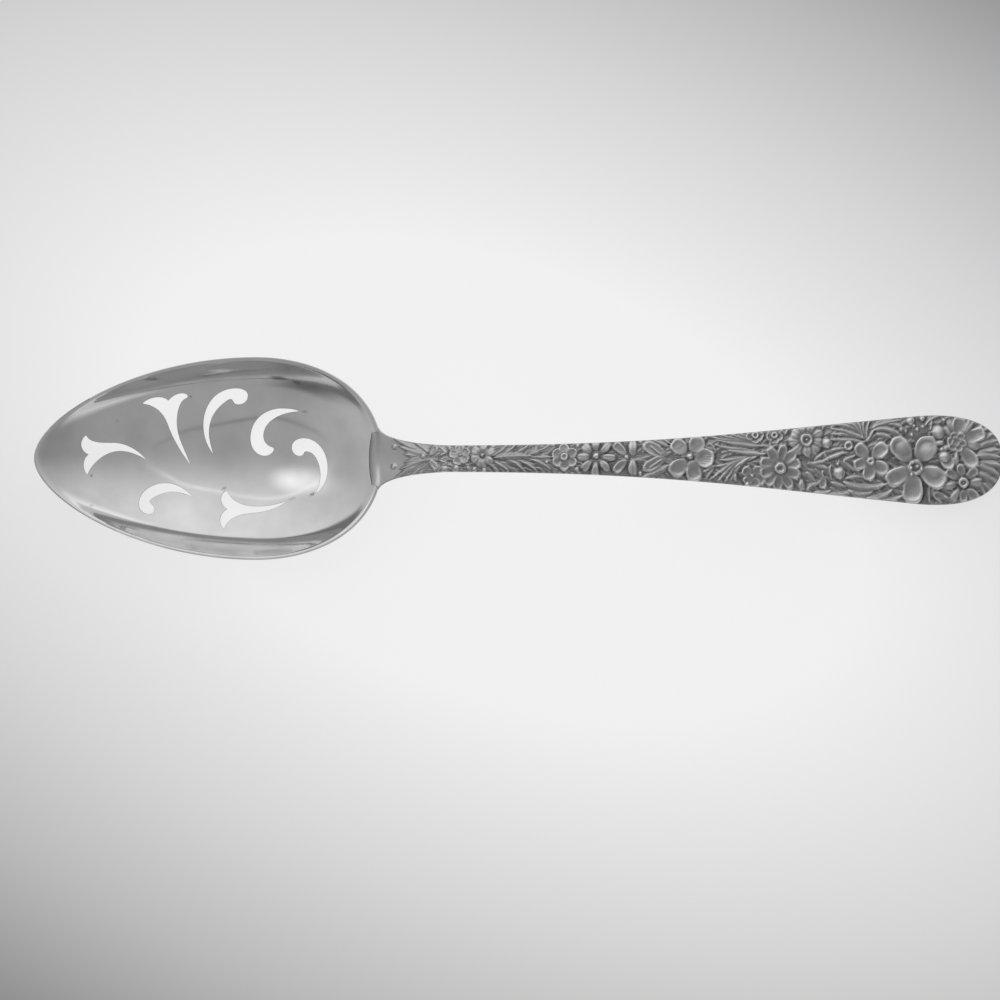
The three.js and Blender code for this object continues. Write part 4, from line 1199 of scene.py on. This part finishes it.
# Stage: pale paper with a painted pool of light that fades to its corners, and a camera straight above
stage = {
    "paperSize": 3000, "paperGap": 0.02, "ownGlow": 0.78, "mirrorGlow": 0.4,
    "glowX": -5, "glowY": -4.7, "glowWidth": 192, "glowLength": 341, "glowTurn": 1.194,
    # the painted pool of light's greys, from the oval's edge to its middle
    "fade": [(0, 0.25), (0.17, 0.262), (0.36, 0.544), (0.52, 0.737), (0.75, 0.97), (1, 0.99)],
    "cameraX": -4.5, "cameraY": -9.1, "cameraHeight": 1250, "cameraRoll": 0.0023,
    "frameWidth": 221.9, "focusHeight": 12, "sensor": 36,
}


def paperFloor():
    # a square just under the table's plane, in linear greys by the share of the way in from the edge of an
    # oval: a painted pool of light, brightest in the middle and darker towards the corners
    half, gap = stage["paperSize"] * mm / 2, stage["paperGap"] * mm
    corners = [(x * half, y * half, -gap) for x, y in ((-1, -1), (1, -1), (1, 1), (-1, 1))]
    mesh = bpy.data.meshes.new("paper")
    mesh.from_pydata(corners, [], [(0, 1, 2, 3)])
    material = newMaterial("matt paper, painted pool of light fading to its corners")
    tree = material.node_tree
    place = node(tree, "TexCoord")
    turned = node(tree, "Mapping", {
        "Vector": (place, "Object"), "Location": (stage["glowX"] * mm, stage["glowY"] * mm, 0),
        "Rotation": (0, 0, stage["glowTurn"]),
        "Scale": (stage["glowWidth"] * mm, stage["glowLength"] * mm, 1)}, vector_type="TEXTURE")
    glow = node(tree, "TexGradient", {"Vector": (turned, "Vector")}, gradient_type="SPHERICAL")
    tone = rampOf(tree, (glow, "Fac"), stage["fade"])
    # the paper glows by itself to the camera, and about half as much in the silver, as a lit
    # backdrop does; the rest of its light is the studio's, which keeps the spoon's shadow
    path = node(tree, "LightPath")
    mirrored = node(tree, "Math", {
        0: (path, "Is Glossy Ray"), 1: stage["mirrorGlow"]}, operation="MULTIPLY")
    share = node(tree, "Math", {
        0: (path, "Is Camera Ray"), 1: stage["ownGlow"], 2: (mirrored, "Value")},
        operation="MULTIPLY_ADD")
    matt = node(tree, "BsdfDiffuse", {"Color": (tone, "Color")})
    lit = node(tree, "Emission", {"Color": (tone, "Color"), "Strength": 1})
    both = node(tree, "MixShader", {0: (share, "Value"), 1: (matt, "BSDF"), 2: (lit, "Emission")})
    node(tree, "OutputMaterial", {"Surface": (both, "Shader")})
    mesh.materials.append(material)
    paper = bpy.data.objects.new("paper", mesh)
    bpy.context.scene.collection.objects.link(paper)


# Studio: a big sheet of soft light, brighter behind the spoon's far side, that ends just above
# the table, over dim walls; a light tent's hoop round the camera, one lamp and two low strips.
# Places and sizes are in the direction's own X and Y, of length 1
studio = {
    "near": 0.41, "far": 0.96, "nearSide": -0.14, "farSide": 0.66, "ends": 0.4, "lean": -0.19,
    "wall": 0.19, "sheetEnd": 0.17, "wallEnd": 0.1,
    "card": (-0.62, -0.85), "cardSize": (0.6, 0.42), "cardShade": 0.3,
    "hoop": (-0.2, 0), "hoopSize": (0.56, 0.4), "hoopWidth": 0.06, "hoopShine": 0.58, "hoopLift": 0.1,
    "lamp": (-0.52, 0.21), "lampSize": (0.32, 0.17), "lampGlow": 0.66,
    "strip": (0.6, 0.8), "stripEdge": 0.935, "stripTop": 0.4, "stripFoot": 0.05, "stripGlow": 0.46,
    "backdrop": 0.8,
}


def distanceIn(tree, place, middle, size):
    # how far a direction is from an oval's middle, in half sizes of the oval
    near = node(tree, "Mapping", {
        "Vector": (place, "Generated"), "Scale": (1 / size[0], 1 / size[1], 0),
        "Location": (-middle[0] / size[0], -middle[1] / size[1], 0)})
    return node(tree, "VectorMath", {0: (near, "Vector")}, operation="LENGTH"), "Value"


def softSheet(tree, place, parts):
    # brighter to the far side by a smooth S, and evened out towards either end of the spoon by
    # the square of the way there; a grey card on the near side by the handle takes some away
    sheet = node(tree, "MapRange", {
        "Value": (parts, "Y"), "From Min": studio["nearSide"], "From Max": studio["farSide"],
        "To Min": studio["near"], "To Max": studio["far"]}, **smooth)
    ends = node(tree, "Math", {0: (parts, "X"), 1: (parts, "X")}, operation="MULTIPLY")
    endGlow = node(tree, "Math", {
        0: (parts, "X"), 1: studio["lean"], 2: studio["ends"]}, operation="MULTIPLY_ADD")
    even = node(tree, "Mix", {
        0: (ends, "Value"), 2: (sheet, "Result"), 3: (endGlow, "Value")}, data_type="FLOAT")
    card = node(tree, "MapRange", {
        "Value": distanceIn(tree, place, studio["card"], studio["cardSize"]),
        "To Min": studio["cardShade"]}, **smooth)
    shaded = node(tree, "Math", {0: (even, 0), 1: (card, "Result")}, operation="MULTIPLY")
    above = node(tree, "MapRange", {
        "Value": (parts, "Z"), "From Min": studio["wallEnd"], "From Max": studio["sheetEnd"]}, **smooth)
    return node(tree, "Mix", {
        0: (above, "Result"), 2: studio["wall"], 3: (shaded, "Value")}, data_type="FLOAT"), 0


def hoopLight(tree, place, parts):
    # a thin oval band, bright on its far side and dark on its near one, in proportion to Y
    off = node(tree, "Math", {
        0: distanceIn(tree, place, studio["hoop"], studio["hoopSize"]), 1: 1}, operation="SUBTRACT")
    away = node(tree, "Math", {0: (off, "Value")}, operation="ABSOLUTE")
    band = node(tree, "MapRange", {
        "Value": (away, "Value"), "From Max": studio["hoopWidth"],
        "To Min": studio["hoopShine"], "To Max": 0}, **smooth)
    farness = node(tree, "Math", {0: (parts, "Y"), 1: studio["hoopLift"]}, operation="ADD")
    return node(tree, "Math", {0: (band, "Result"), 1: (farness, "Value")}, operation="MULTIPLY"), "Value"


def lampLight(tree, place):
    # an oval that fades out from its middle
    return node(tree, "MapRange", {
        "Value": distanceIn(tree, place, studio["lamp"], studio["lampSize"]),
        "To Min": studio["lampGlow"], "To Max": 0}, **smooth), "Result"


def stripLight(tree, parts):
    # two soft strips beside the tip, mirror images of each other: they light the directions
    # whose compass bearing is near theirs, and fade upwards
    beside = node(tree, "Math", {0: (parts, "Y")}, operation="ABSOLUTE")
    level = node(tree, "CombineXYZ", {"X": (parts, "X"), "Y": (beside, "Value")})
    bearing = node(tree, "VectorMath", {0: (level, "Vector")}, operation="NORMALIZE")
    toStrip = node(tree, "VectorMath", {
        0: (bearing, "Vector"), 1: (*studio["strip"], 0)}, operation="DOT_PRODUCT")
    near = node(tree, "MapRange", {
        "Value": (toStrip, "Value"), "From Min": studio["stripEdge"],
        "To Max": studio["stripGlow"]}, **smooth)
    low = node(tree, "MapRange", {
        "Value": (parts, "Z"), "From Min": studio["stripTop"], "From Max": studio["stripFoot"]}, **smooth)
    return node(tree, "Math", {0: (near, "Result"), 1: (low, "Result")}, operation="MULTIPLY"), "Value"


def studioWorld():
    # spoon and paper see the sum of the lights, and the camera a pale backdrop
    world = bpy.data.worlds.new("studio")
    bpy.context.scene.world = world
    world.use_nodes = True
    tree = world.node_tree
    tree.nodes.clear()
    place = node(tree, "TexCoord")
    parts = node(tree, "SeparateXYZ", {"Vector": (place, "Generated")})
    total = softSheet(tree, place, parts)
    for light in (hoopLight(tree, place, parts), lampLight(tree, place), stripLight(tree, parts)):
        total = node(tree, "Math", {0: total, 1: light}, operation="ADD"), "Value"
    lights = node(tree, "Background", {"Color": total, "Strength": 1})
    pale = node(tree, "Background", {"Color": (studio["backdrop"],) * 3 + (1,), "Strength": 1})
    path = node(tree, "LightPath")
    shown = node(tree, "MixShader", {
        0: (path, "Is Camera Ray"), 1: (lights, "Background"), 2: (pale, "Background")})
    node(tree, "OutputWorld", {"Surface": (shown, "Shader")})


def topCamera():
    # the lens is as long as the sensor is wide, times the distance over the frame's width
    lens = bpy.data.cameras.new("camera")
    lens.sensor_width = stage["sensor"]
    lens.lens = stage["sensor"] * (stage["cameraHeight"] - stage["focusHeight"]) / stage["frameWidth"]
    lens.clip_end = 20
    holder = bpy.data.objects.new("camera", lens)
    holder.location = (stage["cameraX"] * mm, stage["cameraY"] * mm, stage["cameraHeight"] * mm)
    holder.rotation_euler = (0, 0, stage["cameraRoll"])
    bpy.context.scene.collection.objects.link(holder)
    bpy.context.scene.camera = holder


paperFloor()
studioWorld()
topCamera()
bpy.context.scene.view_settings.view_transform = "Standard"
print("paper, studio and camera made")
